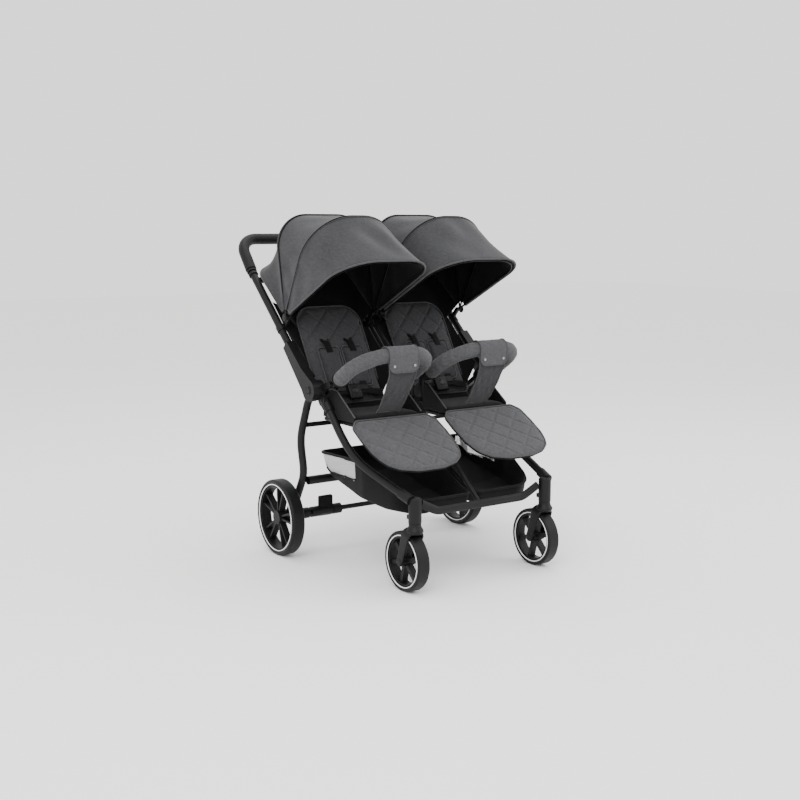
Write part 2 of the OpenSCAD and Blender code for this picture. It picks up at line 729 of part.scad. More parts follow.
canopy_inner_x = 10;
canopy_outer_x = canopy_w + canopy_inner_x;
canopy_mid_x = (canopy_outer_x + canopy_inner_x) / 2;
strip_t = 2.4;
strip_w = 6;
bow_drop = 9;
hoop_angle = -9.9;
mid_angle = 27.7;
front_angle = 63.3;
tail_angle = -53;
tail_r = 252;
hoop_corner = 109;
mid_corner = 147;
front_corner = 120;

// A flat bow with an eye at each end, drawn forward of the upright by an angle
module bow(s, angle, r, corner, layer) {
    inset = cloth_t + side_gap + strip_t / 2 + layer * (strip_t + side_gap);
    half = canopy_w / 2 - inset;
    reach = r - bow_drop;
    path = [[-half, 0], [-half, reach], [half, reach], [half, 0]];
    color(plastic_colour) on_side(s) translate([canopy_mid_x, pivot[0], pivot[1]]) rotate([angle, 0, 0])
        difference() {
            union() {
                rotate([90, 0, 0]) run_along(path, corner) square([strip_t, strip_w], center = true);
                for (e = [-1, 1]) translate([e * half - strip_t / 2, 0, 0]) rotate([0, 90, 0])
                    cylinder(h = strip_t, d = 14);
            }
            translate([-canopy_w / 2, 0, 0]) rotate([0, 90, 0]) cylinder(h = canopy_w, d = 4 + 2 * run_fit);
        }
}

// Point t (0 to 1) of a canopy rib: up one side, round a corner, over the top and down again
function rib_2d(half, r, c, t) =
    let (l1 = r - c, l2 = PI * c / 2, l3 = 2 * (half - c), total = 2 * l1 + 2 * l2 + l3, d = t * total)
    d <= l1 ? [-half, d]
    : d <= l1 + l2 ? let (a = (d - l1) / c * 180 / PI) [-half + c - c * cos(a), l1 + c * sin(a)]
    : d <= l1 + l2 + l3 ? [-half + c + d - l1 - l2, r]
    : d <= l1 + 2 * l2 + l3 ? let (a = (d - l1 - l2 - l3) / c * 180 / PI) [half - c + c * sin(a), l1 + c * cos(a)]
    : [half, total - d];
function rib_3d(angle, half, r, c, t) =
    let (q = rib_2d(half, r, c, t)) [q[0], -sin(angle) * q[1], cos(angle) * q[1]];

rib_steps = 28;
rib_start = 0.03;
ribs = [[tail_angle, tail_r, 60], [hoop_angle, hoop_r, hoop_corner],
    [mid_angle, mid_r, mid_corner], [front_angle, front_r, front_corner]];

// The cloth over all the ribs, as one closed skin
module canopy_cloth(s) {
    n = rib_steps + 1;
    m = len(ribs);
    skin = [for (inward = [0, cloth_t]) for (k = ribs) for (i = [0 : rib_steps])
        rib_3d(k[0], canopy_w / 2 - inward, k[1] - inward, k[2] - inward,
            rib_start + (1 - 2 * rib_start) * i / rib_steps)];
    function at(layer, k, i) = layer * m * n + k * n + i;
    sheet_faces = [for (k = [0 : m - 2]) for (i = [0 : rib_steps - 1]) each [
        [at(0, k, i), at(0, k + 1, i), at(0, k, i + 1)],
        [at(0, k + 1, i), at(0, k + 1, i + 1), at(0, k, i + 1)],
        [at(1, k, i), at(1, k, i + 1), at(1, k + 1, i)],
        [at(1, k + 1, i), at(1, k, i + 1), at(1, k + 1, i + 1)]]];
    end_faces = [for (i = [0 : rib_steps - 1]) each [
        [at(0, 0, i), at(0, 0, i + 1), at(1, 0, i)], [at(1, 0, i), at(0, 0, i + 1), at(1, 0, i + 1)],
        [at(0, m - 1, i), at(1, m - 1, i), at(0, m - 1, i + 1)],
        [at(1, m - 1, i), at(1, m - 1, i + 1), at(0, m - 1, i + 1)]]];
    edge_faces = [for (k = [0 : m - 2]) each [
        [at(0, k, 0), at(1, k, 0), at(0, k + 1, 0)], [at(1, k, 0), at(1, k + 1, 0), at(0, k + 1, 0)],
        [at(0, k, n - 1), at(0, k + 1, n - 1), at(1, k, n - 1)],
        [at(1, k, n - 1), at(0, k + 1, n - 1), at(1, k + 1, n - 1)]]];
    color(cloth_colour) on_side(s) translate([canopy_mid_x, pivot[0], pivot[1]])
        polyhedron(points = skin, faces = concat(sheet_faces, end_faces, edge_faces), convexity = 4);
}

// ---------------------------------------------------------------- rear legs

module rear_leg(s) {
    path = [for (q = leg_path) [leg_x, q[0], q[1]]];
    color(frame_colour) on_side(s) {
        swept_tube(stations(path, leg_bends), [1, 0, 0], leg_d, leg_d, tube_wall);
        difference() {
            union() {
                x_rod([hinge_y, hinge_z], eye_x, eye_outer_x, 36);
                x_link([hinge_y, hinge_z], (leg_path[0] + leg_path[1]) / 2, eye_x, eye_outer_x, 16);
            }
            x_rod([hinge_y, hinge_z], 0, 500, hinge_pin_d + 2 * run_fit);
        }
    }
}

// The bar under the seats, the thicker one above the axle, and the axle with its stubs
module rear_cross_bars() {
    end_x = leg_inner_x - side_gap;
    stub_x = rear_wheel_x + rear_tyre_w / 2 - 12;
    color(frame_colour) {
        translate([-end_x, support_bar[0], support_bar[1]]) rotate([0, 90, 0])
            linear_extrude(2 * end_x) tube_section(15);
        translate([-end_x, rear_bar[0], rear_bar[1]]) rotate([0, 90, 0])
            linear_extrude(2 * end_x) tube_section(cross_bar_d);
        x_rod([rear_axle_y, rear_axle_z], 8 - tyre_inner_x, tyre_inner_x - 8, 16);
        x_rod([rear_axle_y, rear_axle_z], -stub_x, stub_x, stub_d);
    }
}

// Blocks that join the legs to the axle, and the housings of the brake beside the pedal
pedal_x = 190;
pedal_w = 50;
module axle_blocks() {
    axle = [rear_axle_y, rear_axle_z];
    color(plastic_colour) {
        both() difference() {
            union() {
                x_rod(axle, tyre_inner_x - 78, tyre_inner_x - 1, 35);
                x_link(axle, leg_path[4] + unit(leg_path[3] - leg_path[4]) * 24, leg_inner_x - 3,
                    tyre_inner_x - 2, leg_d + 7);
            }
            x_rod(axle, 0, 500, 16 + 2 * run_fit);
            translate([leg_x, leg_path[4][0], leg_path[4][1]])
                rotate([atan2(leg_path[3][1] - leg_path[4][1], leg_path[3][0] - leg_path[4][0]), 0, 0])
                    translate([0, -side_gap, 0]) rotate([-90, 0, 0])
                        cylinder(h = 100, d = leg_d + 2 * side_gap);
        }
        for (e = [-1, 1]) translate([-pedal_x + e * (pedal_w / 2 + 15 + side_gap), 0, 0]) difference() {
            x_rod(axle, -15, 15, 34);
            x_rod(axle, -16, 16, 16 + 2 * run_fit);
        }
    }
}

// Rocker pedal on the axle: a pad that stands up and a foot behind
module brake_pedal() {
    color(plastic_colour) translate([-pedal_x, rear_axle_y, rear_axle_z]) difference() {
        union() {
            translate([-pedal_w / 2, 0, 0]) rotate([0, 90, 0]) cylinder(h = pedal_w, d = 30);
            translate([-pedal_w / 2 + 1, -6, 0]) cube([pedal_w - 2, 10, 44]);
            translate([-pedal_w / 2 + 1, -1, 44]) rotate([0, 90, 0]) cylinder(h = pedal_w - 2, d = 10);
            translate([-pedal_w / 2 + 1, 0, -18]) rotate([12, 0, 0]) cube([pedal_w - 2, 46, 8]);
        }
        translate([-pedal_w / 2 - 1, 0, 0]) rotate([0, 90, 0]) cylinder(h = pedal_w + 2, d = 16 + 2 * run_fit);
    }
}

// ---------------------------------------------------------------- wheels

// Rounded tyre section, turned round the wheel's axle
module tyre(d, w, bore_d) {
    crown = (d - bore_d) / 4 - 0.3;
    rotate([0, 90, 0]) rotate_extrude($fn = 96) {
        translate([bore_d / 2, -w / 2 + crown]) square([d / 2 - bore_d / 2, w - 2 * crown]);
        translate([bore_d / 2, -w / 2 + 2]) square([d / 2 - bore_d / 2 - crown, w - 4]);
        for (e = [-1, 1]) translate([d / 2 - crown, e * (w / 2 - crown)]) circle(r = crown);
    }
}

// Rim with a hub and spokes: count groups of spokes, each with pair blades
module rim(d, w, hub_d, hub_x0, hub_x1, bore_d, count, pair, blade_w, first) {
    ring_t = 8;
    difference() {
        union() {
            rotate([0, 90, 0]) rotate_extrude($fn = 96) translate([d / 2 - ring_t, -w / 2 + 2])
                square([ring_t, w - 4]);
            translate([hub_x0, 0, 0]) rotate([0, 90, 0]) cylinder(h = hub_x1 - hub_x0, d = hub_d);
            for (k = [0 : count - 1]) for (j = [0 : pair - 1])
                rotate([first + 360 * k / count + (pair > 1 ? (j * 2 - 1) * 11 : 0), 0, 0])
                    translate([-w * 0.28, -blade_w / 2, hub_d / 2 - 6])
                        cube([w * 0.56, blade_w, d / 2 - ring_t - hub_d / 2 + 9]);
        }
        translate([hub_x0 - 1, 0, 0]) rotate([0, 90, 0]) cylinder(h = hub_x1 - hub_x0 - 4, d = bore_d);
    }
}

rear_rim_d = rear_wheel_d - 30;
front_rim_d = front_wheel_d - 25;

module rear_tyre(s) {
    color(tyre_colour) translate([s * rear_wheel_x, rear_axle_y, rear_axle_z])
        tyre(rear_wheel_d, rear_tyre_w, rear_rim_d + 0.2);
}
module rear_rim(s) {
    half = rear_tyre_w / 2;
    color(plastic_colour) on_side(s) translate([rear_wheel_x, rear_axle_y, rear_axle_z])
        rim(rear_rim_d, rear_tyre_w - 6, 44, -half + 1, half - 6, stub_d + 2 * run_fit, 5, 2, 6, 10);
}
module front_tyre(s) {
    color(tyre_colour) translate([s * swivel_x, front_axle_y, front_axle_z])
        tyre(front_wheel_d, front_tyre_w, front_rim_d + 0.2);
}
module front_rim(s) {
    half = front_tyre_w / 2;
    color(plastic_colour) translate([s * swivel_x, front_axle_y, front_axle_z]) difference() {
        rim(front_rim_d, front_tyre_w - 6, 30, -half + 1, half - 1, 8 + 2 * run_fit, 6, 1, 12, 15);
        translate([-60, 0, 0]) rotate([0, 90, 0]) cylinder(h = 120, d = 8 + 2 * run_fit);
    }
}

// Fork with an arched crown over the tyre and two arms back to the axle
fork_t = 7;
module caster_fork(s) {
    inner = front_tyre_w / 2 + 1.5;
    crown_z = front_wheel_d + 4;
    top_z = housing_z - 0.4;
    color(plastic_colour) translate([s * swivel_x, 0, 0]) difference() {
        union() {
            translate([0, swivel_y, crown_z + 2]) cylinder(h = top_z - crown_z - 2, d = housing_d - 2);
            translate([-inner - fork_t, swivel_y - 20, crown_z - 16]) cube([2 * (inner + fork_t), 46, 22]);
            both() x_link([swivel_y + 4, crown_z - 18], [front_axle_y, front_axle_z], inner, inner + fork_t, 24);
        }
        // Clearance over the tyre
        translate([-inner, front_axle_y, front_axle_z]) rotate([0, 90, 0])
            cylinder(h = 2 * inner, r = front_wheel_d / 2 + 3, $fn = 96);
        translate([0, swivel_y, crown_z - 30]) cylinder(h = 100, d = stem_d);
        translate([-80, front_axle_y, front_axle_z]) rotate([0, 90, 0]) cylinder(h = 160, d = 8 + 2 * run_fit);
    }
}
module caster_pins(s) {
    inner = front_tyre_w / 2 + 1.5;
    color(steel_colour) translate([s * swivel_x, 0, 0]) {
        translate([0, swivel_y, front_wheel_d + 5]) cylinder(h = housing_top_z - 18 - front_wheel_d - 5, d = stem_d - 0.04);
        x_rod([front_axle_y, front_axle_z], -inner - fork_t - 1, inner + fork_t + 1, 8);
    }
}

// ---------------------------------------------------------------- nodes

for (s = [-1, 1]) {
    front_tube(s);
    swivel_housing(s);
    hinge_base(s);
    seat_pad(s);
    upper_tube(s);
    hinge_cover(s);
    rear_leg(s);
    rear_tyre(s);
    rear_rim(s);
    caster_fork(s);
    caster_pins(s);
    front_tyre(s);
    front_rim(s);
    bow(s, hoop_angle, hoop_r, hoop_corner, 0);
    bow(s, mid_angle, mid_r, mid_corner, 1);
    bow(s, front_angle, front_r, front_corner, 2);
    canopy_cloth(s);
    backrest(s);
    harness(s);
    leg_rest(s);
    bumper(s);
}
front_cross_tube();
centre_tube();
crotch_straps();
hinge_pins();
seat_frame();
seat_wings();
basket();
centre_uprights();
handle_bar();
handle_grip();
handle_collars();
release_housing();
canopy_mounts();
side_panels();
release_button();
rear_cross_bars();
axle_blocks();
brake_pedal();
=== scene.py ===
import json
import math

import bmesh
import bpy
import numpy as np
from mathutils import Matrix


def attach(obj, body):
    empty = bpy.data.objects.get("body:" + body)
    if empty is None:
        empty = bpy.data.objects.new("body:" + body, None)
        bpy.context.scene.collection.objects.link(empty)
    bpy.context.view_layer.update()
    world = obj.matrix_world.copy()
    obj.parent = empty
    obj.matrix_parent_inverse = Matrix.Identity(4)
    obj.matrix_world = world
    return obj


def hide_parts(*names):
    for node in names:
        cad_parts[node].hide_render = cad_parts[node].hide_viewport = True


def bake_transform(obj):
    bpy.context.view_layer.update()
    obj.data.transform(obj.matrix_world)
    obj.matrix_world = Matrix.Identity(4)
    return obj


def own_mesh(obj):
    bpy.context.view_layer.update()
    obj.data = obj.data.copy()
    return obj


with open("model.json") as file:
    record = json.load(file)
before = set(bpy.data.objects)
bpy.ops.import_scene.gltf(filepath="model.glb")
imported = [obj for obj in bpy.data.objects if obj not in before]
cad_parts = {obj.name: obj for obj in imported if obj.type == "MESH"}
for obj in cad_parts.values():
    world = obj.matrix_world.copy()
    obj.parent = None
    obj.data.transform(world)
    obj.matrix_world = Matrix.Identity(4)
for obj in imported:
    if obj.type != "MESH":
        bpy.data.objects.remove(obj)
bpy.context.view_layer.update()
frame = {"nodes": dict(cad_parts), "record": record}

sides = {"left": -1, "right": 1}

# Places the soft pieces are built on, in metres, right side
seatX = 0.167
backHinge = np.array([0.0125, 0.492])
legHinge = np.array([-0.1845, 0.472])
bumperPivot = np.array([-0.0835, 0.569])
canopyPivot = np.array([0.1396, 0.7572])
hingePoint = np.array([-0.0155, 0.547])
rearAxle = (0.355, 0.1625, 0.121)
frontAxle = (0.242, -0.3815, 0.088)
swivelY = -0.4205
# ---------------------------------------------------------------- materials

# A hex colour to the linear colour a shader takes
def toLinear(hexColour):
    c = np.array([int(hexColour[i:i + 2], 16) for i in (1, 3, 5)]) / 255
    return (*np.where(c <= 0.04045, c / 12.92, ((c + 0.055) / 1.055) ** 2.4).tolist(), 1.0)


# A new node with its sockets linked or set
def addNode(tree, kind, sockets=None, **settings):
    made = tree.nodes.new(kind)
    for key, value in settings.items():
        setattr(made, key, value)
    for key, value in (sockets or {}).items():
        if isinstance(value, bpy.types.NodeSocket):
            tree.links.new(value, made.inputs[key])
        else:
            made.inputs[key].default_value = value
    return made


# A new material with its node tree and shader
def newMaterial(name):
    material = bpy.data.materials.new(name)
    material.use_nodes = True
    tree = material.node_tree
    return material, tree, tree.nodes["Principled BSDF"]


# Hard surfaces: one colour, a fine grain and a slow change of gloss
def hardSurface(name, look):
    material, tree, shader = newMaterial(name)
    place = addNode(tree, "ShaderNodeTexCoord").outputs["Object"]
    grain = addNode(tree, "ShaderNodeTexNoise",
                    {"Vector": place, "Scale": 1000 / look["grain"], "Detail": 2.0})
    slow = addNode(tree, "ShaderNodeTexNoise", {"Vector": place, "Scale": 9.0, "Detail": 3.0})
    gloss = addNode(tree, "ShaderNodeMapRange",
                    {"Value": slow.outputs["Fac"], "From Min": 0.3, "From Max": 0.7,
                     "To Min": look["rough"] - 0.05, "To Max": look["rough"] + 0.07})
    bump = addNode(tree, "ShaderNodeBump", {"Height": grain.outputs["Fac"], "Strength": look["bump"],
                                            "Distance": 0.0003})
    shader.inputs["Base Color"].default_value = toLinear(look["colour"])
    shader.inputs["Metallic"].default_value = look.get("metal", 0.0)
    shader.inputs["Specular IOR Level"].default_value = look.get("shine", 0.32)
    tree.links.new(gloss.outputs["Result"], shader.inputs["Roughness"])
    tree.links.new(bump.outputs["Normal"], shader.inputs["Normal"])
    return material


# Cloth: two fibre colours mixed by a fine speckle and soft streaks, with a thread relief
def clothSurface(name, look):
    material, tree, shader = newMaterial(name)
    place = addNode(tree, "ShaderNodeTexCoord").outputs["Object"]
    streaked = addNode(tree, "ShaderNodeMapping", {"Vector": place, "Scale": (1.0, 0.45, 1.0)})
    fibre = addNode(tree, "ShaderNodeTexNoise",
                    {"Vector": streaked.outputs["Vector"], "Scale": 1000 / look["fibre"], "Detail": 3.0,
                     "Roughness": 0.65})
    patch = addNode(tree, "ShaderNodeTexNoise",
                    {"Vector": streaked.outputs["Vector"], "Scale": 1000 / look["patch"], "Detail": 2.0})
    soft = addNode(tree, "ShaderNodeMath", {0: patch.outputs["Fac"], 1: 0.35}, operation="MULTIPLY")
    both = addNode(tree, "ShaderNodeMath", {0: fibre.outputs["Fac"], 1: soft.outputs["Value"]},
                   operation="ADD")
    blend = addNode(tree, "ShaderNodeMapRange",
                    {"Value": both.outputs["Value"], "From Min": 0.42, "From Max": 0.93})
    ramp = addNode(tree, "ShaderNodeValToRGB", {"Fac": blend.outputs["Result"]})
    ramp.color_ramp.elements[0].color = toLinear(look["dark"])
    ramp.color_ramp.elements[1].color = toLinear(look["light"])
    thread = addNode(tree, "ShaderNodeTexVoronoi", {"Vector": place, "Scale": 1000 / look["thread"]})
    bump = addNode(tree, "ShaderNodeBump", {"Height": thread.outputs["Distance"], "Strength": look["bump"],
                                            "Distance": 0.0004})
    tree.links.new(ramp.outputs["Color"], shader.inputs["Base Color"])
    tree.links.new(bump.outputs["Normal"], shader.inputs["Normal"])
    shader.inputs["Roughness"].default_value = look["rough"]
    shader.inputs["Sheen Weight"].default_value = look["sheen"]
    shader.inputs["Specular IOR Level"].default_value = 0.12
    return material


# Open mesh: thin pale threads with air between them
def meshSurface(name, look):
    material, tree, shader = newMaterial(name)
    place = addNode(tree, "ShaderNodeTexCoord").outputs["Object"]
    holes = addNode(tree, "ShaderNodeTexVoronoi", {"Vector": place, "Scale": 1000 / look["hole"]},
                    feature="DISTANCE_TO_EDGE")
    solid = addNode(tree, "ShaderNodeMapRange",
                    {"Value": holes.outputs["Distance"], "From Min": 0.10, "From Max": 0.22,
                     "To Min": look["thread"], "To Max": look["air"]})
    shader.inputs["Base Color"].default_value = toLinear(look["colour"])
    shader.inputs["Roughness"].default_value = 0.8
    tree.links.new(solid.outputs["Result"], shader.inputs["Alpha"])
    return material


# Powder-coated aluminium tube
tubeCoat = hardSurface("powder_coated_aluminium",
                       {"colour": "#0d0d0f", "rough": 0.36, "grain": 0.5, "bump": 0.10})
# Glass-filled nylon mouldings
nylon = hardSurface("moulded_nylon",
                    {"colour": "#0c0c0d", "rough": 0.50, "grain": 0.6, "bump": 0.25, "shine": 0.22})
# Zinc-plated steel pins
zincSteel = hardSurface("zinc_plated_steel",
                        {"colour": "#a9abad", "rough": 0.30, "grain": 0.4, "bump": 0.05, "metal": 1.0})
# Polished press studs
studSteel = hardSurface("nickel_press_stud",
                        {"colour": "#8f9092", "rough": 0.22, "grain": 0.4, "bump": 0.02, "metal": 1.0})
# Solid EVA foam tyres
evaFoam = hardSurface("eva_foam_tyre",
                      {"colour": "#101011", "rough": 0.78, "grain": 1.1, "bump": 0.45, "shine": 0.14})
# Moulded wheel rims
rimPlastic = hardSurface("moulded_rim_plastic",
                         {"colour": "#0b0b0c", "rough": 0.46, "grain": 0.7, "bump": 0.15})
# Reflective ring moulded into each wheel
ringPlastic = hardSurface("reflective_white_ring",
                          {"colour": "#e9eaea", "rough": 0.35, "grain": 0.6, "bump": 0.05})
# Foam grip of the handle
gripFoam = hardSurface("handle_grip_foam",
                       {"colour": "#0e0e0f", "rough": 0.62, "grain": 0.9, "bump": 0.55})
# Heathered polyester of the canopies, shoulder pads and crotch straps
melange = clothSurface("heathered_polyester",
                       {"dark": "#222224", "light": "#3e3e40", "fibre": 0.9, "patch": 7.0,
                        "thread": 0.8, "bump": 0.35, "rough": 0.92, "sheen": 0.12})
# The same cloth in a lighter copy for the leg rests, bumper sleeves and flaps, the lightest of the three:
# painted light standing in for the light these pads catch
melangePaintedLit = clothSurface("heathered_polyester_pads",
                            {"dark": "#303032", "light": "#525254", "fibre": 0.9, "patch": 7.0,
                             "thread": 0.8, "bump": 0.35, "rough": 0.92, "sheen": 0.12})
# The same cloth in a slightly lighter copy for the backrests: painted light, slightly lighter than on the
# canopies
melangeBackPaintedLit = clothSurface("heathered_polyester_backrest",
                           {"dark": "#29292b", "light": "#454547", "fibre": 0.9, "patch": 7.0,
                            "thread": 0.8, "bump": 0.35, "rough": 0.92, "sheen": 0.10})
# Piping cut from the same cloth, coloured lighter as a painted highlight along its round edge
pipingClothPaintedHighlight = clothSurface("piping_cloth",
                           {"dark": "#2f2f31", "light": "#4c4c4e", "fibre": 0.8, "patch": 5.0,
                            "thread": 0.7, "bump": 0.3, "rough": 0.9, "sheen": 0.1})
# Black woven lining
lining = clothSurface("black_woven_lining",
                      {"dark": "#050505", "light": "#0b0b0c", "fibre": 0.8, "patch": 9.0,
                       "thread": 0.7, "bump": 0.3, "rough": 0.82, "sheen": 0.08})
# Black binding tape and webbing
webbing = clothSurface("black_webbing",
                       {"dark": "#060606", "light": "#0e0e0f", "fibre": 0.6, "patch": 3.0,
                        "thread": 1.2, "bump": 0.5, "rough": 0.7, "sheen": 0.05})
# Light open mesh of the basket's sides
openMesh = meshSurface("light_open_mesh", {"colour": "#d9dadb", "hole": 1.8, "thread": 0.62, "air": 0.20})
print("materials made")

finishes = {"frame_tube": tubeCoat, "moulded_plastic": nylon, "pin_steel": zincSteel, "tyre_foam": evaFoam,
            "rim_plastic": rimPlastic, "grip_foam": gripFoam, "bow_plastic": nylon, "lining_fabric": lining,
            "melange_fabric": melange}
slotOfNode = {}
for entry in frame["record"]["materials"]:
    for name in entry.get("nodes", []):
        slotOfNode[name] = entry["slot"]
for name, cadObject in frame["nodes"].items():
    finish = finishes.get(slotOfNode.get(name), nylon)
    cadObject.data.materials.clear()
    cadObject.data.materials.append(finish)


# ---------------------------------------------------------------- geometry

# Rounds the corners of a path with arcs, then spaces its points evenly
def smoothPath(points, radius, count, closed=False):
    p = np.asarray(points, float)
    n = len(p)
    radii = np.broadcast_to(radius, (n,))
    parts = []
    for i in range(n):
        if not closed and i in (0, n - 1):
            parts.append(p[i:i + 1])
            continue
        a, b, c = p[i - 1], p[i], p[(i + 1) % n]
        u, v = (a - b) / np.linalg.norm(a - b), (c - b) / np.linalg.norm(c - b)
        half = math.acos(np.clip(u @ v, -1, 1)) / 2
        if radii[i] < 1e-6 or abs(half - math.pi / 2) < 1e-3:
            parts.append(p[i:i + 1])
            continue
        reach = radii[i] / math.tan(half)
        middle = b + (u + v) / np.linalg.norm(u + v) * radii[i] / math.sin(half)
        start, stop = b + u * reach - middle, b + v * reach - middle
        turn = math.pi - 2 * half
        w = np.linspace(0, 1, 24)[:, None]
        parts.append(middle + (start * np.sin((1 - w) * turn) + stop * np.sin(w * turn)) / math.sin(turn))
    line = np.concatenate(parts + ([parts[0][:1]] if closed else []))
    run = np.concatenate([[0], np.cumsum(np.linalg.norm(np.diff(line, axis=0), axis=1))])
    keep = np.concatenate([[True], np.diff(run) > 1e-9])
    at = np.linspace(0, run[-1], count + 1)[:-1] if closed else np.linspace(0, run[-1], count)
    return np.stack([np.interp(at, run[keep], line[keep, k]) for k in range(line.shape[1])], axis=1)


# Quads of a grid of n by m points, either way closed on itself
def gridFaces(n, m, closeN=False, closeM=False, first=0):
    i, j = np.meshgrid(np.arange(n if closeN else n - 1), np.arange(m if closeM else m - 1), indexing="ij")
    i, j = i.ravel(), j.ravel()
    k, l = (i + 1) % n, (j + 1) % m
    return first + np.stack([i * m + j, k * m + j, k * m + l, i * m + l], axis=1)


# One finished object from points and quads; a left piece is the mirror image of the right one
def makePiece(name, points, faces, materials, side=1, which=None):
    points = np.array(points, float)
    points[:, 0] *= side
    faces = np.asarray(faces)
    if side < 0:
        faces = faces[:, ::-1]
    mesh = bpy.data.meshes.new(name)
    corners = [tuple(dict.fromkeys(f)) for f in faces.tolist()]
    mesh.from_pydata(points.tolist(), [], corners)
    for material in materials:
        mesh.materials.append(material)
    if which is not None:
        mesh.polygons.foreach_set("material_index", np.asarray(which, np.int32))
    mesh.polygons.foreach_set("use_smooth", np.full(len(corners), True))
    mesh.update()
    made = bpy.data.objects.new(name, mesh)
    bpy.context.scene.collection.objects.link(made)
    return made


# Unit normals of a grid of points
def gridNormals(grid, closeM=False):
    if closeM:
        across = np.roll(grid, -1, axis=1) - np.roll(grid, 1, axis=1)
    else:
        across = np.gradient(grid, axis=1)
    normal = np.cross(np.gradient(grid, axis=0), across)
    return normal / np.maximum(np.linalg.norm(normal, axis=2, keepdims=True), 1e-9)


# A sheet with thickness: the grid is its outer face, the inner face lies below it, and the edges are closed
def thickSheet(grid, thick, closeM=False):
    n, m = grid.shape[:2]
    inner = grid - gridNormals(grid, closeM) * thick
    points = np.concatenate([grid.reshape(-1, 3), inner.reshape(-1, 3)])
    outerFaces = gridFaces(n, m, False, closeM)
    innerFaces = gridFaces(n, m, False, closeM, n * m)[:, ::-1]
    index = np.arange(n * m).reshape(n, m)
    wrap = [index[0, 0]] if closeM else []
    rim = []
    for line, flip in ((index[0], True), (index[-1], False)):
        a = np.concatenate([line, wrap if flip else [index[-1, 0]] * len(wrap)]).astype(int)
        q = np.stack([a[:-1], a[1:], a[1:] + n * m, a[:-1] + n * m], axis=1)
        rim.append(q[:, ::-1] if not flip else q)
    if not closeM:
        for line, flip in ((index[:, 0], False), (index[:, -1], True)):
            q = np.stack([line[:-1], line[1:], line[1:] + n * m, line[:-1] + n * m], axis=1)
            rim.append(q[:, ::-1] if not flip else q)
    rim = np.concatenate(rim)
    faces = np.concatenate([outerFaces, innerFaces, rim])
    which = np.concatenate([np.zeros(len(outerFaces)), np.ones(len(innerFaces)), np.zeros(len(rim))])
    return points, faces, which


# A round cord along a path; the reference direction is never along the path
def cord(path, radius, reference, closed=False, ring=10):
    path = np.asarray(path, float)
    if closed:
        along = np.roll(path, -1, axis=0) - np.roll(path, 1, axis=0)
    else:
        along = np.gradient(path, axis=0)
    along /= np.linalg.norm(along, axis=1, keepdims=True)
    reference = np.broadcast_to(reference, path.shape)
    side = np.cross(along, reference)
    side /= np.linalg.norm(side, axis=1, keepdims=True)
    up = np.cross(side, along)
    angle = np.arange(ring) / ring * 2 * math.pi
    radius = np.broadcast_to(radius, (len(path),))
    ringPoints = (side[:, None] * np.cos(angle)[None, :, None] + up[:, None] * np.sin(angle)[None, :, None])
    points = (path[:, None] + ringPoints * radius[:, None, None]).reshape(-1, 3)
    faces = gridFaces(len(path), ring, closed, True)
    if closed:
        return points, faces
    points = np.concatenate([points, path[:1], path[-1:]])
    last = len(points) - 1
    a = np.arange(ring)
    b = (a + 1) % ring
    start = np.stack([np.full(ring, last - 1), a, b, b], axis=1)
    stop = np.stack([np.full(ring, last), b + (len(path) - 1) * ring, a + (len(path) - 1) * ring,
                     a + (len(path) - 1) * ring], axis=1)
    return points, np.concatenate([faces, start, stop])


# A flat bar with rounded edges along a path, wide in one direction and thin across it
def flatBar(path, wide, half, thin):
    along = np.gradient(path, axis=0)
    along /= np.linalg.norm(along, axis=1, keepdims=True)
    wide = np.asarray(wide) - along * (along @ np.asarray(wide))[:, None]
    wide /= np.linalg.norm(wide, axis=1, keepdims=True)
    flat = np.cross(wide, along)
    angle = np.arange(28) / 28 * 2 * math.pi
    c, s = np.cos(angle), np.sin(angle)
    c, s = np.sign(c) * np.abs(c) ** 0.45, np.sign(s) * np.abs(s) ** 0.45
    half = np.broadcast_to(half, (len(path),))
    points = path[:, None] + wide[:, None] * (half[:, None] * c[None])[..., None]
    points = points + flat[:, None] * (thin * s)[None, :, None]
    n = len(path)
    points = np.concatenate([points.reshape(-1, 3), path[:1], path[-1:]])
    a = np.arange(28)
    b = (a + 1) % 28
    start = np.stack([np.full(28, n * 28), a, b, b], axis=1)
    stop = np.stack([np.full(28, n * 28 + 1), b + (n - 1) * 28, a + (n - 1) * 28, a + (n - 1) * 28], axis=1)
    return points, np.concatenate([gridFaces(n, 28, False, True), start, stop])


# A closed pillow over an outline: flat in the middle and round at its rim
def pillow(outline, front, back, rings=14, power=7.0):
    outline = np.asarray(outline, float)
    middle = outline.mean(axis=0)
    scale = np.sin(np.linspace(0, 1, rings + 1)[1:] * math.pi / 2)
    rise = np.sqrt(1 - scale ** power)
    flat = middle + (outline[None] - middle) * scale[:, None, None]
    half, centre = (front - back) / 2, (front + back) / 2
    one = np.ones((*flat.shape[:2], 1))
    upper = np.concatenate([flat, one * (centre + half * rise)[:, None, None]], 2)
    lower = np.concatenate([flat, one * (centre - half * rise)[:, None, None]], 2)
    stack = np.concatenate([upper, lower[::-1][1:]])
    n, m = stack.shape[:2]
    points = np.concatenate([stack.reshape(-1, 3), [[*middle, front], [*middle, back]]])
    a = np.arange(m)
    b = (a + 1) % m
    top = np.stack([np.full(m, n * m), a, b, b], axis=1)
    low = np.stack([np.full(m, n * m + 1), b + (n - 1) * m, a + (n - 1) * m, a + (n - 1) * m], axis=1)
    return points, np.concatenate([gridFaces(n, m, False, True), top, low])


# Applies the modifiers of an object to its mesh
def evaluated(made):
    graph = bpy.context.evaluated_depsgraph_get()
    mesh = bpy.data.meshes.new_from_object(made.evaluated_get(graph))
    made.modifiers.clear()
    made.data = mesh


# The points of a mesh as an array
def pointsOf(mesh):
    co = np.zeros(len(mesh.vertices) * 3)
    mesh.vertices.foreach_get("co", co)
    return co.reshape(-1, 3)


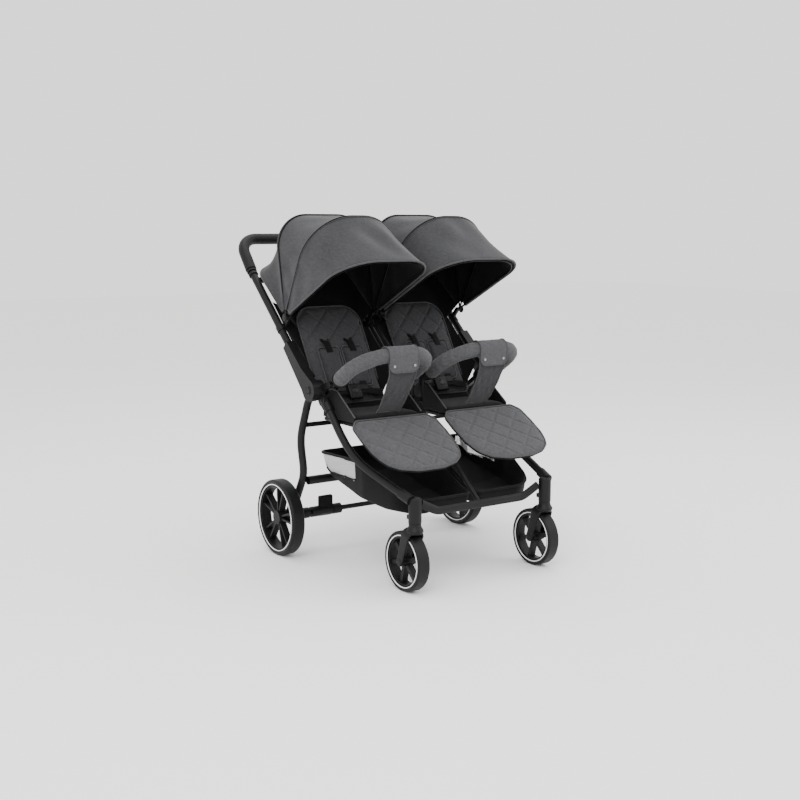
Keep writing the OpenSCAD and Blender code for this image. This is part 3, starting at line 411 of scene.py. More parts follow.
# Remeshes a closed pad, lets a little air swell it, holds every point near its start and smooths it once
def swell(points, faces, cap, voxel):
    pad = makePiece("swelling", points, faces, [])
    remesh = pad.modifiers.new("remesh", "REMESH")
    remesh.mode = "VOXEL"
    remesh.voxel_size = voxel
    evaluated(pad)
    rest = pointsOf(pad.data)
    cloth = pad.modifiers.new("cloth", "CLOTH")
    cloth.settings.use_pressure = True
    cloth.settings.uniform_pressure_force = 4.0
    cloth.settings.effector_weights.gravity = 0.0
    cloth.settings.quality = 4
    cloth.point_cache.frame_start, cloth.point_cache.frame_end = 1, 20
    for step in range(1, 21):
        bpy.context.scene.frame_set(step)
    evaluated(pad)
    move = pointsOf(pad.data) - rest
    length = np.linalg.norm(move, axis=1, keepdims=True)
    moved = rest + move * np.minimum(1, cap / np.maximum(length, 1e-9))
    pad.data.vertices.foreach_set("co", moved.ravel())
    bpy.context.scene.frame_set(1)
    finer = pad.modifiers.new("finer", "SUBSURF")
    finer.levels = finer.render_levels = 1
    evaluated(pad)
    result = pointsOf(pad.data)
    corner = np.zeros(len(pad.data.loops), int)
    pad.data.loops.foreach_get("vertex_index", corner)
    bpy.data.objects.remove(pad)
    return result, corner.reshape(-1, 4)


# Sewn diamonds: every point near one of two crossing families of lines is pulled in
def quilt(points, faceLevel, look, top=9.0, low=-9.0):
    x, u, n = points.T
    pitch = look["pitch"]
    groove = np.zeros(len(points))
    for tilt in (1, -1):
        d = (x + tilt * u) / math.sqrt(2)
        off = np.abs((d / pitch + 0.5) % 1 - 0.5) * pitch
        groove = np.maximum(groove, np.exp(-(off / look["width"]) ** 2))
    # Only where the pad faces the sitter, fading out towards its rim
    facing = np.clip((n - faceLevel) / 0.003, 0, 1) * (u < top) * np.clip((u - low) / 0.01, 0, 1)
    return points - np.stack([0 * x, 0 * x, look["depth"] * groove * facing], axis=1)


# Local (across, along, outward) to the place of a pad that starts at a point and runs at a slope
def laid(points, start, alongAngle, outAngle):
    a, o = math.radians(alongAngle), math.radians(outAngle)
    y = start[0] + points[:, 1] * math.cos(a) + points[:, 2] * math.cos(o)
    z = start[1] + points[:, 1] * math.sin(a) + points[:, 2] * math.sin(o)
    return np.stack([points[:, 0] + seatX, y, z], axis=1)


# A ripple that looks unplanned but is the same at each run
def ripple(a, b, seed):
    picked = np.random.default_rng(seed)
    total = np.zeros(np.broadcast(a, b).shape)
    for _ in range(7):
        f = picked.uniform(0.6, 2.6, 2) * picked.choice([-1, 1], 2)
        total = total + np.sin(f[0] * a + f[1] * b + picked.uniform(0, 6.28)) / 7
    return total


# A block with rounded edges, as points and quads
def block(size, radius):
    made = bmesh.new()
    bmesh.ops.create_cube(made, size=1.0)
    bmesh.ops.scale(made, vec=size, verts=made.verts)
    bmesh.ops.bevel(made, geom=list(made.edges), offset=radius, segments=3, profile=0.5, affect="EDGES")
    bmesh.ops.triangulate(made, faces=made.faces)
    points = np.array([v.co for v in made.verts])
    faces = np.array([[v.index for v in f.verts] for f in made.faces])
    made.free()
    return points, np.concatenate([faces, faces[:, 2:]], axis=1)


# A band of webbing along a path in the Y-Z plane of a pad, as local points
def strap(path, width, thick):
    path = np.asarray(path, float)
    along = np.gradient(path, axis=0)
    across = np.cross(np.array([0.0, 0.0, 1.0]), along)
    across /= np.linalg.norm(across, axis=1, keepdims=True)
    w = np.linspace(0.5, -0.5, 5)
    grid = path[:, None] + across[:, None] * w[None, :, None] * width
    return thickSheet(grid, thick)


# ---------------------------------------------------------------- canopies

canopyLook = {"middle": 0.176, "half": 0.166, "rows": 22, "columns": 120, "thick": 0.0022}
ribs = {"tail": (-53.0, 0.252, 0.060), "hoop": (-9.9, 0.320, 0.109), "mid": (27.7, 0.3495, 0.147),
        "front": (63.3, 0.401, 0.120)}


# A rib goes up one side, round a corner, over the top and down again, leaned forward by its angle
def ribPath(angle, reach, corner, count, grow=0.0):
    half = canopyLook["half"] + grow
    dense = smoothPath([[-half, 0], [-half, reach + grow], [half, reach + grow], [half, 0]],
                       [0, corner, corner, 0], 2001)
    at = np.linspace(0.03, 0.97, count) * 2000
    q = np.stack([np.interp(at, np.arange(2001), dense[:, k]) for k in (0, 1)], axis=1)
    a = math.radians(angle)
    return np.stack([canopyLook["middle"] + q[:, 0], canopyPivot[0] - math.sin(a) * q[:, 1],
                     canopyPivot[1] + math.cos(a) * q[:, 1]], axis=1)


# Cloth between two ribs: straight lines from rib to rib, drawn in between them and gently rippled
def canopyPanel(a, b, sag, waves, seed):
    n, m = canopyLook["rows"], canopyLook["columns"]
    first, last = ribPath(*ribs[a], m), ribPath(*ribs[b], m)
    s = np.linspace(0, 1, n)[:, None, None]
    t = np.linspace(0, 1, m)[None, :]
    grid = first[None] * (1 - s) + last[None] * s
    bow = 4 * s[..., 0] * (1 - s[..., 0]) * np.sin(math.pi * t) ** 0.5
    fold = ripple(t * 24, s[..., 0] * 2.2, seed) * waves * bow
    middle = np.array([canopyLook["middle"], *canopyPivot])
    inward = middle - grid
    inward /= np.linalg.norm(inward, axis=2, keepdims=True)
    return grid + inward * (sag * bow + fold)[..., None]


panels = {
    "tail": ("tail", "hoop", 0.020, 0.007, 3, ("upper_frame", "canopy_hoop_")),
    "rear": ("hoop", "mid", 0.006, 0.007, 5, ("canopy_hoop_", "canopy_mid_")),
    "front": ("mid", "front", 0.004, 0.012, 8, ("canopy_mid_", "canopy_front_")),
}
for name, side in sides.items():
    for part, (a, b, sag, waves, seed, pair) in panels.items():
        grid = canopyPanel(a, b, sag, waves, seed + side)
        points, faces, which = thickSheet(grid, canopyLook["thick"])
        piece = makePiece(f"canopy_{part}_panel_{name}", points, faces, [melange, lining], side, which)
        start, end = ribPath(*ribs[a], 3)[1], ribPath(*ribs[b], 3)[1]
        start[0] *= side
        end[0] *= side
        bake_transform(piece)
        if part == "rear":
            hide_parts(f"canopy_cloth_{name}")
    # Seams: a doubled piping on the hoop, one on the middle rib and a bound hem on the front rib
    seams = (("hoop_seam_a", "hoop", -1.0, 0.0023, lining, "canopy_hoop_"),
             ("hoop_band", "hoop", 0.0, 0.0034, melange, "canopy_hoop_"),
             ("hoop_seam_b", "hoop", 1.0, 0.0023, lining, "canopy_hoop_"),
             ("mid_seam", "mid", -0.3, 0.0026, lining, "canopy_mid_"),
             ("mid_edge", "mid", 0.55, 0.0019, melange, "canopy_mid_"),
             ("front_hem", "front", 0.0, 0.0030, pipingClothPaintedHighlight, "canopy_front_"))
    for label, rib, shift, radius, material, body in seams:
        angle, reach, corner = ribs[rib]
        path = ribPath(angle + shift, reach, corner, 160, 0.0002)
        leaned = math.radians(angle)
        points, faces = cord(path, radius, [0.0, math.cos(leaned), math.sin(leaned)])
        piece = makePiece(f"canopy_{label}_{name}", points, faces, [material], side)
        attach(piece, body + name)
print("canopies made")


# ---------------------------------------------------------------- backrests and harness

backLook = {"half": 0.118, "length": 0.343, "head": 0.060, "lean": 59.7, "front": -0.003, "back": -0.027}
quiltLook = {"pitch": 0.058, "depth": 0.0044, "width": 0.0042}
padLook = {"half": 0.039, "length": 0.140, "middle": 0.0435, "low": 0.052, "thick": 0.0085}


# Outline of the backrest: square at its foot and round at its head
def backOutline(inset=0.0):
    h, top = backLook["half"] - inset, backLook["length"] - inset
    head = backLook["head"]
    corners = [[-h, 0.004 + inset], [h, 0.004 + inset], [h, top], [-h, top]]
    return smoothPath(corners, [0.012, 0.012, head, head], 180, closed=True)


lean = backLook["lean"]
padOut = [0.0, math.cos(math.radians(lean + 90)), math.sin(math.radians(lean + 90))]


# Local (across, along, outward) to the place of a piece on the backrest
def onBack(points):
    return laid(points, backHinge, lean, lean + 90)


points, faces = pillow(backOutline(-0.0025), backLook["front"], backLook["back"])
points, faces = swell(points, faces, 0.004, 0.005)
points = quilt(points, -0.012, quiltLook, top=0.338, low=0.196)
# Soft folds below the slots, where the cloth isn't quilted
low = np.clip((0.19 - points[:, 1]) / 0.03, 0, 1) * (points[:, 2] > -0.012)
points[:, 2] += 0.0016 * low * ripple(points[:, 0] * 40, points[:, 1] * 25, 11)
backPoints, backFaces = onBack(points), faces
rim = np.concatenate([backOutline(0.001), np.full((180, 1), -0.010)], axis=1)
pipingPoints, pipingFaces = cord(onBack(rim), 0.0024, padOut, closed=True)
print("backrests made")

# Shoulder pad: a small pillow with a bound edge
padOutline = smoothPath([[-padLook["half"], 0], [padLook["half"], 0], [padLook["half"], padLook["length"]],
                         [-padLook["half"], padLook["length"]]], 0.011, 90, closed=True)
points, faces = pillow(padOutline * [0.96, 0.97] + [0, 0.002], padLook["thick"], 0.001, rings=10, power=5)
shoulderPoints, shoulderFaces = swell(points, faces, 0.003, 0.004)

for name, side in sides.items():
    back = makePiece(f"backrest_pad_{name}", backPoints, backFaces, [melangeBackPaintedLit], side)
    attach(back, f"backrest_{name}")
    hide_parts(f"backrest_{name}")
    piping = makePiece(f"backrest_piping_{name}", pipingPoints, pipingFaces, [pipingClothPaintedHighlight], side)
    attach(piping, f"backrest_{name}")
    for hand, e in (("inner", -1), ("outer", 1)):
        shift = np.array([e * padLook["middle"], padLook["low"], 0.0015])
        pad = makePiece(f"shoulder_pad_{hand}_{name}", onBack(shoulderPoints + shift), shoulderFaces, [melange],
                        side)
        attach(pad, f"backrest_{name}")
        edge = np.concatenate([padOutline, np.full((90, 1), 0.005)], axis=1) + shift
        points, faces = cord(onBack(edge), 0.0021, padOut, closed=True)
        bound = makePiece(f"shoulder_pad_piping_{hand}_{name}", points, faces, [pipingClothPaintedHighlight], side)
        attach(bound, f"backrest_{name}")
        # Belt out of its slot above the pad, and down from the pad to the buckle
        x = e * padLook["middle"]
        upper = np.array([[x, 0.216, 0.0015], [x, 0.2100, 0.0042], [x, 0.203, 0.0065], [x, 0.188, 0.0095],
                          [x, 0.170, 0.0125]])
        lower = np.array([[x, 0.066, 0.0115], [x, 0.052, 0.0100], [x * 0.8, 0.044, 0.0100],
                          [x * 0.35, 0.036, 0.0120]])
        waist = np.array([[e * 0.112, 0.024, 0.001], [e * 0.080, 0.028, 0.006], [e * 0.045, 0.036, 0.0105],
                          [e * 0.012, 0.034, 0.0125]])
        for label, path in (("shoulder_belt", upper), ("lower_belt", lower), ("waist_belt", waist)):
            points, faces, which = strap(smoothPath(path, 0.01, 24), 0.024, 0.0016)
            belt = makePiece(f"{label}_{hand}_{name}", onBack(points), faces, [webbing], side)
            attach(belt, f"backrest_{name}")
        slotPoints, slotFaces = block((0.030, 0.012, 0.003), 0.0012)
        points = onBack(slotPoints + [x, 0.218, -0.001])
        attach(makePiece(f"belt_slot_{hand}_{name}", points, slotFaces, [webbing], side), f"backrest_{name}")
        points, faces = block((0.034, 0.020, 0.005), 0.0016)
        points = onBack(points + [x * 0.9, 0.046, 0.0120])
        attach(makePiece(f"belt_slider_{hand}_{name}", points, faces, [nylon], side), f"backrest_{name}")
    # Central buckle with its round button
    points, faces = block((0.046, 0.050, 0.014), 0.005)
    buckle = makePiece(f"buckle_{name}", onBack(points + [0, 0.030, 0.0165]), faces, [nylon], side)
    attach(buckle, f"backrest_{name}")
    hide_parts(f"harness_{name}")
    turn = np.linspace(0, 2 * math.pi, 48, endpoint=False)
    disc = np.stack([np.cos(turn), np.sin(turn)], axis=1) * 0.011
    points, faces = pillow(disc, 0.003, -0.003, rings=6, power=4)
    button = makePiece(f"buckle_button_{name}", onBack(points + [0, 0.032, 0.0225]), faces, [rimPlastic], side)
    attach(button, f"backrest_{name}")
print("harness made")


# ---------------------------------------------------------------- seat cushions and cheeks

cushionOutline = smoothPath([[-0.117, 0.001], [0.117, 0.001], [0.117, 0.181], [-0.117, 0.181]], 0.014, 160,
                            closed=True)
points, faces = pillow(cushionOutline, 0.0200, 0.0015, rings=12, power=6)
points, faces = swell(points, faces, 0.003, 0.005)
points[:, 2] = np.clip(points[:, 2], 0.0003, None)
cushionPoints, cushionFaces = laid(points, [-0.1825, 0.460], 0, 90), faces
for name, side in sides.items():
    cushion = makePiece(f"seat_cushion_{name}", cushionPoints, cushionFaces, [lining], side)
    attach(cushion, "root")
    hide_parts(f"seat_pad_{name}")
    for hand, e in (("inner", -1), ("outer", 1)):
        y = np.linspace(-0.1765, 0.0025, 40)
        top = np.interp(y, [-0.1765, -0.0775, -0.0455, -0.0115, 0.0025], [0.478, 0.547, 0.551, 0.537, 0.470])
        v = np.linspace(0, 1, 12)[:, None]
        z = 0.462 * (1 - v) + top[None] * v
        bulge = 0.0012 * np.sin(math.pi * v) * np.sin(math.pi * np.linspace(0, 1, 40))[None]
        x = seatX + e * (0.1194 + bulge)
        grid = np.stack([x, np.broadcast_to(y, z.shape), z], axis=2)
        if e > 0:
            grid = grid[:, ::-1]
        points, faces, which = thickSheet(grid[::-1], 0.0016)
        cheek = makePiece(f"seat_cheek_{hand}_{name}", points, faces, [lining], side)
        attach(cheek, "root")
        if hand == "outer" and name == "right":
            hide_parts("seat_wings")
        edge = np.stack([np.full(34, seatX + e * 0.1194), y[:34], top[:34]], axis=1)
        points, faces = cord(smoothPath(edge, 0, 60), 0.0022, [1.0, 0.0, 0.0])
        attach(makePiece(f"seat_cheek_piping_{hand}_{name}", points, faces, [pipingClothPaintedHighlight], side), "root")
print("seats made")


# ---------------------------------------------------------------- leg rests

legLook = {"drop": 30.0, "front": 0.0050, "back": -0.0055, "voxel": 0.005}
# Edge of the pad, along and across, from the hinge to its round end
legEdge = np.array([[0.004, 0.128], [0.030, 0.150], [0.090, 0.1525], [0.150, 0.150],
                    [0.185, 0.141], [0.210, 0.128], [0.232, 0.100], [0.2475, 0.045]])
legCorners = [0.012, 0.03, 0.06, 0.06, 0.05, 0.03, 0.03, 0.06]
legOutline = np.concatenate([np.stack([legEdge[:, 1], legEdge[:, 0]], axis=1),
                             np.stack([-legEdge[::-1, 1], legEdge[::-1, 0]], axis=1)])
legOutline = smoothPath(legOutline, legCorners + legCorners[::-1], 200, closed=True)[::-1]
drop = 180 + legLook["drop"]
outward = 90 + legLook["drop"]
points, faces = pillow(legOutline, legLook["front"], legLook["back"], rings=14, power=9)
points, faces = swell(points, faces, 0.0025, legLook["voxel"])
points = quilt(points, 0.001, {**quiltLook, "depth": 0.0026}, top=0.235, low=0.012)
points[:, 2] += 0.0010 * ripple(points[:, 0] * 45, points[:, 1] * 35, 4)
legPoints = laid(points * [-1, 1, 1], legHinge, drop, outward)
# The underside is lining, the top side is the heathered cloth
under = points[faces].mean(axis=1)[:, 2] < -0.0035
rim = np.concatenate([legOutline * [0.985, 0.990], np.full((200, 1), 0.0012)], axis=1)
outDirection = [0.0, math.cos(math.radians(outward)), math.sin(math.radians(outward))]
legPiping = cord(laid(rim, legHinge, drop, outward), 0.0026, outDirection, closed=True)
rim[:, 2] = -0.0048
legBinding = cord(laid(rim * [0.995, 0.995, 1.0], legHinge, drop, outward), 0.0028, outDirection, closed=True)
for name, side in sides.items():
    leg = makePiece(f"leg_rest_pad_{name}", legPoints, faces, [melangePaintedLit, lining], side, under)
    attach(leg, f"leg_rest_{name}")
    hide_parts(f"leg_rest_{name}")
    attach(makePiece(f"leg_rest_piping_{name}", *legPiping, [pipingClothPaintedHighlight], side), f"leg_rest_{name}")
    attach(makePiece(f"leg_rest_binding_{name}", *legBinding, [webbing], side), f"leg_rest_{name}")
print("leg rests made")


# ---------------------------------------------------------------- bumper sleeves and crotch straps

bumperLook = {"half": 0.131, "reach": 0.181, "rise": 31.7, "bend": 0.100, "radius": 0.0226, "start": 0.029}
flapLook = {"half": 0.051, "radius": 0.0262, "drop": 0.614, "thick": 0.0028}
rise = math.radians(bumperLook["rise"])


# Local (across, forward, up from the bar's plane) to the place of the raised bumper bar
def onBumper(points):
    y = bumperPivot[0] - points[:, 1] * math.cos(rise) + points[:, 2] * math.sin(rise)
    z = bumperPivot[1] + points[:, 1] * math.sin(rise) + points[:, 2] * math.cos(rise)
    return np.stack([seatX - points[:, 0], y, z], axis=1)


half = bumperLook["half"]
sleevePath = smoothPath([[-half, bumperLook["start"], 0], [-half, bumperLook["reach"], 0],
                         [half, bumperLook["reach"], 0], [half, bumperLook["start"], 0]],
                        [0, bumperLook["bend"], bumperLook["bend"], 0], 150)
t = np.linspace(0, 1, 150)
radius = bumperLook["radius"] * (1 + 0.03 * np.sin(t * 31) * np.sin(math.pi * t))
points, faces = cord(sleevePath, radius, [0.0, 0.0, 1.0], ring=40)
points, faces = swell(points, faces, 0.0022, 0.004)
# Creases across the sleeve, deepest on the inside of its bends
bend = np.clip((np.abs(points[:, 0]) - 0.04) / 0.06, 0, 1) * np.clip((0.20 - points[:, 1]) / 0.05, 0, 1)
centre = np.array([0.0, 0.10, 0.0])
away = points - centre
away /= np.linalg.norm(away, axis=1, keepdims=True)
angle = np.arctan2(points[:, 0], points[:, 1] - 0.06)
points = points + away * (0.0009 * bend * np.sin(angle * 34 + 1.2 * np.sin(points[:, 2] * 160)))[:, None]
sleevePoints, sleeveFaces = onBumper(points), faces
# Bar inside the sleeve, with a round eye on each pivot
barPath = smoothPath([[-half, 0.002, 0], [-half, bumperLook["reach"], 0], [half, bumperLook["reach"], 0],
                      [half, 0.002, 0]], [0, bumperLook["bend"], bumperLook["bend"], 0], 120)
barPoints, barFaces = cord(barPath, 0.0118, [0.0, 0.0, 1.0], ring=28)
parts, joined = [barPoints], [barFaces]
for e in (-1, 1):
    eye = np.stack([np.linspace(e * half - 0.0119, e * half + 0.0119, 8), np.zeros(8), np.zeros(8)], axis=1)
    eyePoints, eyeFaces = cord(eye, 0.0119, [0.0, 0.0, 1.0], ring=36)
    joined.append(eyeFaces + sum(len(q) for q in parts))
    parts.append(eyePoints)
barShape = (onBumper(np.concatenate(parts)), np.concatenate(joined))
print("bumper sleeve made")

# Flap: from behind the sleeve, over its top and straight down its front
reach = bumperLook["reach"]
top = bumperPivot + np.array([-math.cos(rise) * reach, math.sin(rise) * reach])
arc = np.radians(np.linspace(-50, 180, 40))
section = top + flapLook["radius"] * np.stack([np.cos(arc), np.sin(arc)], axis=1)
fall = np.linspace([section[-1, 0], top[1]], [section[-1, 0] + 0.003, flapLook["drop"]], 16)[1:]
section = np.concatenate([section, fall])
w = np.linspace(-1, 1, 41)
grid = np.zeros((len(section), 41, 3))
grid[..., 0] = seatX + w[None] * flapLook["half"]
# The free end has rounded corners
depthLeft = (section[:, 1] - flapLook["drop"])[:, None]
cornerR = 0.020
inCorner = (np.arange(len(section))[:, None] > 40) & (depthLeft < cornerR)
squeeze = flapLook["half"] - cornerR + np.sqrt(np.clip(cornerR ** 2 - (cornerR - depthLeft) ** 2, 0, None))
grid[..., 0] = np.where(inCorner, seatX + w[None] * squeeze, grid[..., 0])
# It follows the sleeve's bends, which start 31 mm from its middle
past = np.clip(np.abs(grid[..., 0] - seatX) - 0.031, 0, None)
curl = bumperLook["bend"] - np.sqrt(bumperLook["bend"] ** 2 - past ** 2)
grid[..., 1] = section[:, 0][:, None] + 0.9 * curl * math.cos(rise)
rows = np.arange(len(section))[:, None]
grid[..., 2] = section[:, 1][:, None] + 0.0006 * ripple(w[None] * 6, rows * 0.2, 7)
flapGrid = grid
edgeA, edgeB, tip = grid[2:, 0], grid[2:, -1], grid[-1]
flapEdge = smoothPath(np.concatenate([edgeA, tip[1:-1], edgeB[::-1]]), 0, 150)

# Crotch strap: from behind the flap down to the front of the cushion, narrower at the seat
strapLine = smoothPath([[-0.2520, 0.640], [-0.2535, 0.610], [-0.2270, 0.560], [-0.1900, 0.506],
                        [-0.1700, 0.4855]], [0, 0.06, 0.12, 0.08, 0], 50)
width = np.linspace(0.049, 0.040, 50)[:, None]
w = np.linspace(-1, 1, 21)[None]
down = np.linspace(0, 1, 50)[:, None]
crumple = ripple(w * 5, 9 * down, 21) * 0.0022 * np.sin(math.pi * down)
strapGrid = np.stack([seatX + w * width, strapLine[:, :1] + crumple, strapLine[:, 1:] + 0 * w], axis=2)

for name, side in sides.items():
    sleeve = makePiece(f"bumper_sleeve_{name}", sleevePoints, sleeveFaces, [melangePaintedLit], side)
    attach(sleeve, f"bumper_{name}")
    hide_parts(f"bumper_{name}")
    bar = makePiece(f"bumper_bar_{name}", *barShape, [nylon], side)
    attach(bar, f"bumper_{name}")
    for hand, e in (("inner", -1), ("outer", 1)):
        turn = np.linspace(0, 2 * math.pi, 40, endpoint=False)
        hem = np.stack([e * half + 0.0216 * np.cos(turn), np.full(40, bumperLook["start"] - 0.001),
                        0.0216 * np.sin(turn)], axis=1)
        points, faces = cord(onBumper(hem), 0.0026, [0.0, -math.cos(rise), math.sin(rise)], closed=True)
        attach(makePiece(f"bumper_hem_{hand}_{name}", points, faces, [webbing], side), f"bumper_{name}")
    points, faces, which = thickSheet(flapGrid, flapLook["thick"])
    flap = makePiece(f"bumper_flap_{name}", points, faces, [melangePaintedLit, lining], side, which)
    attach(flap, f"bumper_{name}")
    points, faces = cord(flapEdge, 0.0019, [0.25, 0.35, 0.9])
    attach(makePiece(f"bumper_flap_piping_{name}", points, faces, [pipingClothPaintedHighlight], side), f"bumper_{name}")
    for hand, e in (("inner", -1), ("outer", 1)):
        turn = np.linspace(0, 2 * math.pi, 32, endpoint=False)
        disc = np.stack([np.cos(turn), np.sin(turn)], axis=1) * 0.0044
        points, faces = pillow(disc, 0.0030, 0.0, rings=6, power=2.5)
        points = np.stack([seatX + e * 0.036 + points[:, 0], flapGrid[-7, 20, 1] - points[:, 2] + 0.0006,
                           0.6330 + points[:, 1]], axis=1)
        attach(makePiece(f"press_stud_{hand}_{name}", points, faces, [studSteel], side), f"bumper_{name}")
    points, faces, which = thickSheet(strapGrid, 0.0030)
    crotch = makePiece(f"crotch_strap_{name}", points, faces, [melange, lining], side, which)
    low, high = strapGrid[-1, 10].copy(), strapGrid[0, 10].copy()
    low[0] *= side
    high[0] *= side
    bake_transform(crotch)
    if name == "right":
        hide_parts("crotch_straps")
    for hand, column in (("inner", 0), ("outer", -1)):
        points, faces = cord(strapGrid[:, column], 0.0021, [1.0, 0.0, 0.0])
        edge = makePiece(f"crotch_strap_piping_{hand}_{name}", points, faces, [pipingClothPaintedHighlight], side)
        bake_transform(edge)
print("bumpers made")


# ---------------------------------------------------------------- basket

basketLook = {"sag": 0.016, "thick": 0.0024, "rows": 44, "columns": 220}


# Height of the bound rim and of the floor's outer edge, from front to back
def rimHeight(y):
    return np.interp(y, [-0.3825, -0.330, -0.2625, -0.1685, 0.0627], [0.255, 0.268, 0.300, 0.347, 0.340])


def floorHeight(y):
    return np.interp(y, [-0.3825, -0.28, -0.17, 0.0, 0.0627], [0.216, 0.222, 0.236, 0.276, 0.312])


basketRim = smoothPath([[0.013, -0.380], [0.234, -0.380], [0.272, -0.190], [0.272, 0.060], [0.013, 0.060]],
                       [0.012, 0.095, 0.06, 0.03, 0.012], basketLook["columns"], closed=True)
k = np.linspace(0, 1, basketLook["rows"])[:, None]
# The walls fall almost upright, turn through a round foot and run in to the middle as the floor
shrink = np.maximum(np.where(k < 0.36, 1 - 0.05 * (k / 0.36) ** 2, 0.95 * (1 - (k - 0.36) / 0.64)), 0.004)
fall = 0.5 - 0.5 * np.cos(math.pi * np.clip(k / 0.40, 0, 1))
middle = np.array([0.135, -0.165])
x = middle[0] + (basketRim[None, :, 0] - middle[0]) * shrink
y = middle[1] + (basketRim[None, :, 1] - middle[1]) * shrink
theta = np.linspace(0, 2 * math.pi, basketLook["columns"], endpoint=False)[None]
sag = basketLook["sag"] * np.clip((k - 0.30) / 0.70, 0, 1) ** 0.7
rimZ = rimHeight(basketRim[:, 1])[None]
z = rimZ + (floorHeight(y) - sag - rimZ) * fall
crease = ripple(theta * 4.0, k * 4, 31) * np.sin(math.pi * np.clip(k * 1.4, 0, 1)) ** 2
x = x - 0.003 * np.abs(crease) * np.sign(x - middle[0])
z = z + 0.0035 * crease * (k < 0.98)
basketGrid = np.stack([x, y, z], axis=2)
points, faces, which = thickSheet(basketGrid, basketLook["thick"], closeM=True)
spot = points[faces].mean(axis=1)
light = (spot[:, 0] > 0.255) & (spot[:, 1] > -0.150) & (spot[:, 1] < 0.054) & (spot[:, 2] > np.maximum(
    floorHeight(spot[:, 1]) + 0.012, 0.286)) & (spot[:, 2] < 0.340)
which = np.where(light, 1, 0)
for name, side in sides.items():
    tub = makePiece(f"basket_{name}", points, faces, [lining, openMesh], side, which)
    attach(tub, "root")
    if name == "right":
        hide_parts("basket")
    rimPath = np.stack([basketRim[:, 0], basketRim[:, 1], rimHeight(basketRim[:, 1])], axis=1)
    rimPoints, rimFaces = cord(rimPath, 0.0038, [0.0, 0.0, 1.0], closed=True)
    bound = makePiece(f"basket_rim_{name}", rimPoints, rimFaces, [webbing], side)
    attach(bound, "root")
    ys = np.linspace(0.015, -0.150, 60)
    binding = np.stack([np.full(60, 0.2700), ys, np.maximum(floorHeight(ys) + 0.012, 0.286)], axis=1)
    tape = makePiece(f"basket_tape_{name}", *cord(binding, 0.0022, [1.0, 0.0, 0.0]), [webbing], side)
    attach(tape, "root")
    for piece in (tub, bound, tape):
        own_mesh(piece)
print("basket made")


# ---------------------------------------------------------------- fabric beside and above the backrests

# From the tubes to the side edges of the backrest, and from its head up to the tail of the canopy
tubeLean, padLean = math.radians(42.1), math.radians(lean)
tubeWay = np.array([math.cos(tubeLean), math.sin(tubeLean)])
padWay = np.array([math.cos(padLean), math.sin(padLean)])
padBehind = np.array([math.sin(padLean), -math.cos(padLean)])
v = np.linspace(0, 1, 60)[:, None]
u = np.linspace(0, 1, 15)[None]
for name, side in sides.items():
    for hand, tubeX, padX in (("outer", 0.3195, 0.2730), ("inner", 0.0175, 0.0610)):
        onTube = hingePoint + (0.055 + 0.320 * v) * tubeWay
        onPad = backHinge + (0.012 + 0.315 * v) * padWay + 0.016 * padBehind
        line = onTube[:, None] * (1 - u[..., None]) + onPad[:, None] * u[..., None]
        slack = 0.004 * np.sin(math.pi * u) * (0.5 + ripple(v * 14, u * 3, 51))
        line = line + (slack * np.sin(math.pi * v))[..., None] * padBehind
        grid = np.concatenate([(tubeX + (padX - tubeX) * u + 0 * v)[..., None], line], axis=2)
        if hand == "inner":
            grid = grid[:, ::-1]
        points, faces, which = thickSheet(grid, 0.0016)
        cloth = makePiece(f"seat_side_{hand}_{name}", points, faces, [lining], side)
        start, end = (tubeX * side, 0.1, 0.65), (padX * side, 0.1, 0.65)
        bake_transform(cloth)
        if hand == "outer" and name == "right":
            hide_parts("side_panels")
    upper = ribPath(*ribs["tail"], 61)
    t = np.linspace(0, 1, 61)
    head = smoothPath([[-0.108, 0.262], [-0.108, 0.336], [0.108, 0.336], [0.108, 0.262]],
                      [0, 0.052, 0.052, 0], 61)
    lower = onBack(np.concatenate([head, np.full((61, 1), -0.016)], axis=1))
    s = np.linspace(0, 1, 18)[:, None, None]
    grid = upper[None] * (1 - s) + lower[None] * s
    dip = np.sin(math.pi * s[..., 0]) * np.sin(math.pi * t)[None]
    grid[..., 2] -= 0.012 * dip + 0.003 * dip * ripple(t[None] * 12, s[..., 0] * 5, 61)
    points, faces, which = thickSheet(grid[:, ::-1], 0.0016)
    curtain = makePiece(f"head_curtain_{name}", points, faces, [lining], side)
    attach(curtain, "upper_frame")
    # Cloth that joins the back of the cushion to the foot of the backrest
    w = np.linspace(0, 1, 40)[None]
    k = np.linspace(0, 1, 12)[:, None]
    z = 0.4700 + 0.032 * k - 0.006 * np.sin(math.pi * k) + 0.001 * ripple(w * 12, k * 3, 71)
    grid = np.stack([seatX - 0.117 + 0.234 * w + 0 * k, -0.012 + 0.047 * k + 0 * w, z], axis=2)
    points, faces, which = thickSheet(grid[:, ::-1], 0.0016)
    joint = makePiece(f"seat_joint_{name}", points, faces, [lining], side)
    start, end = (seatX * side, -0.012, 0.470), (seatX * side, 0.035, 0.502)
    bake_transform(joint)
print("side fabric made")


# ---------------------------------------------------------------- wheels and fittings

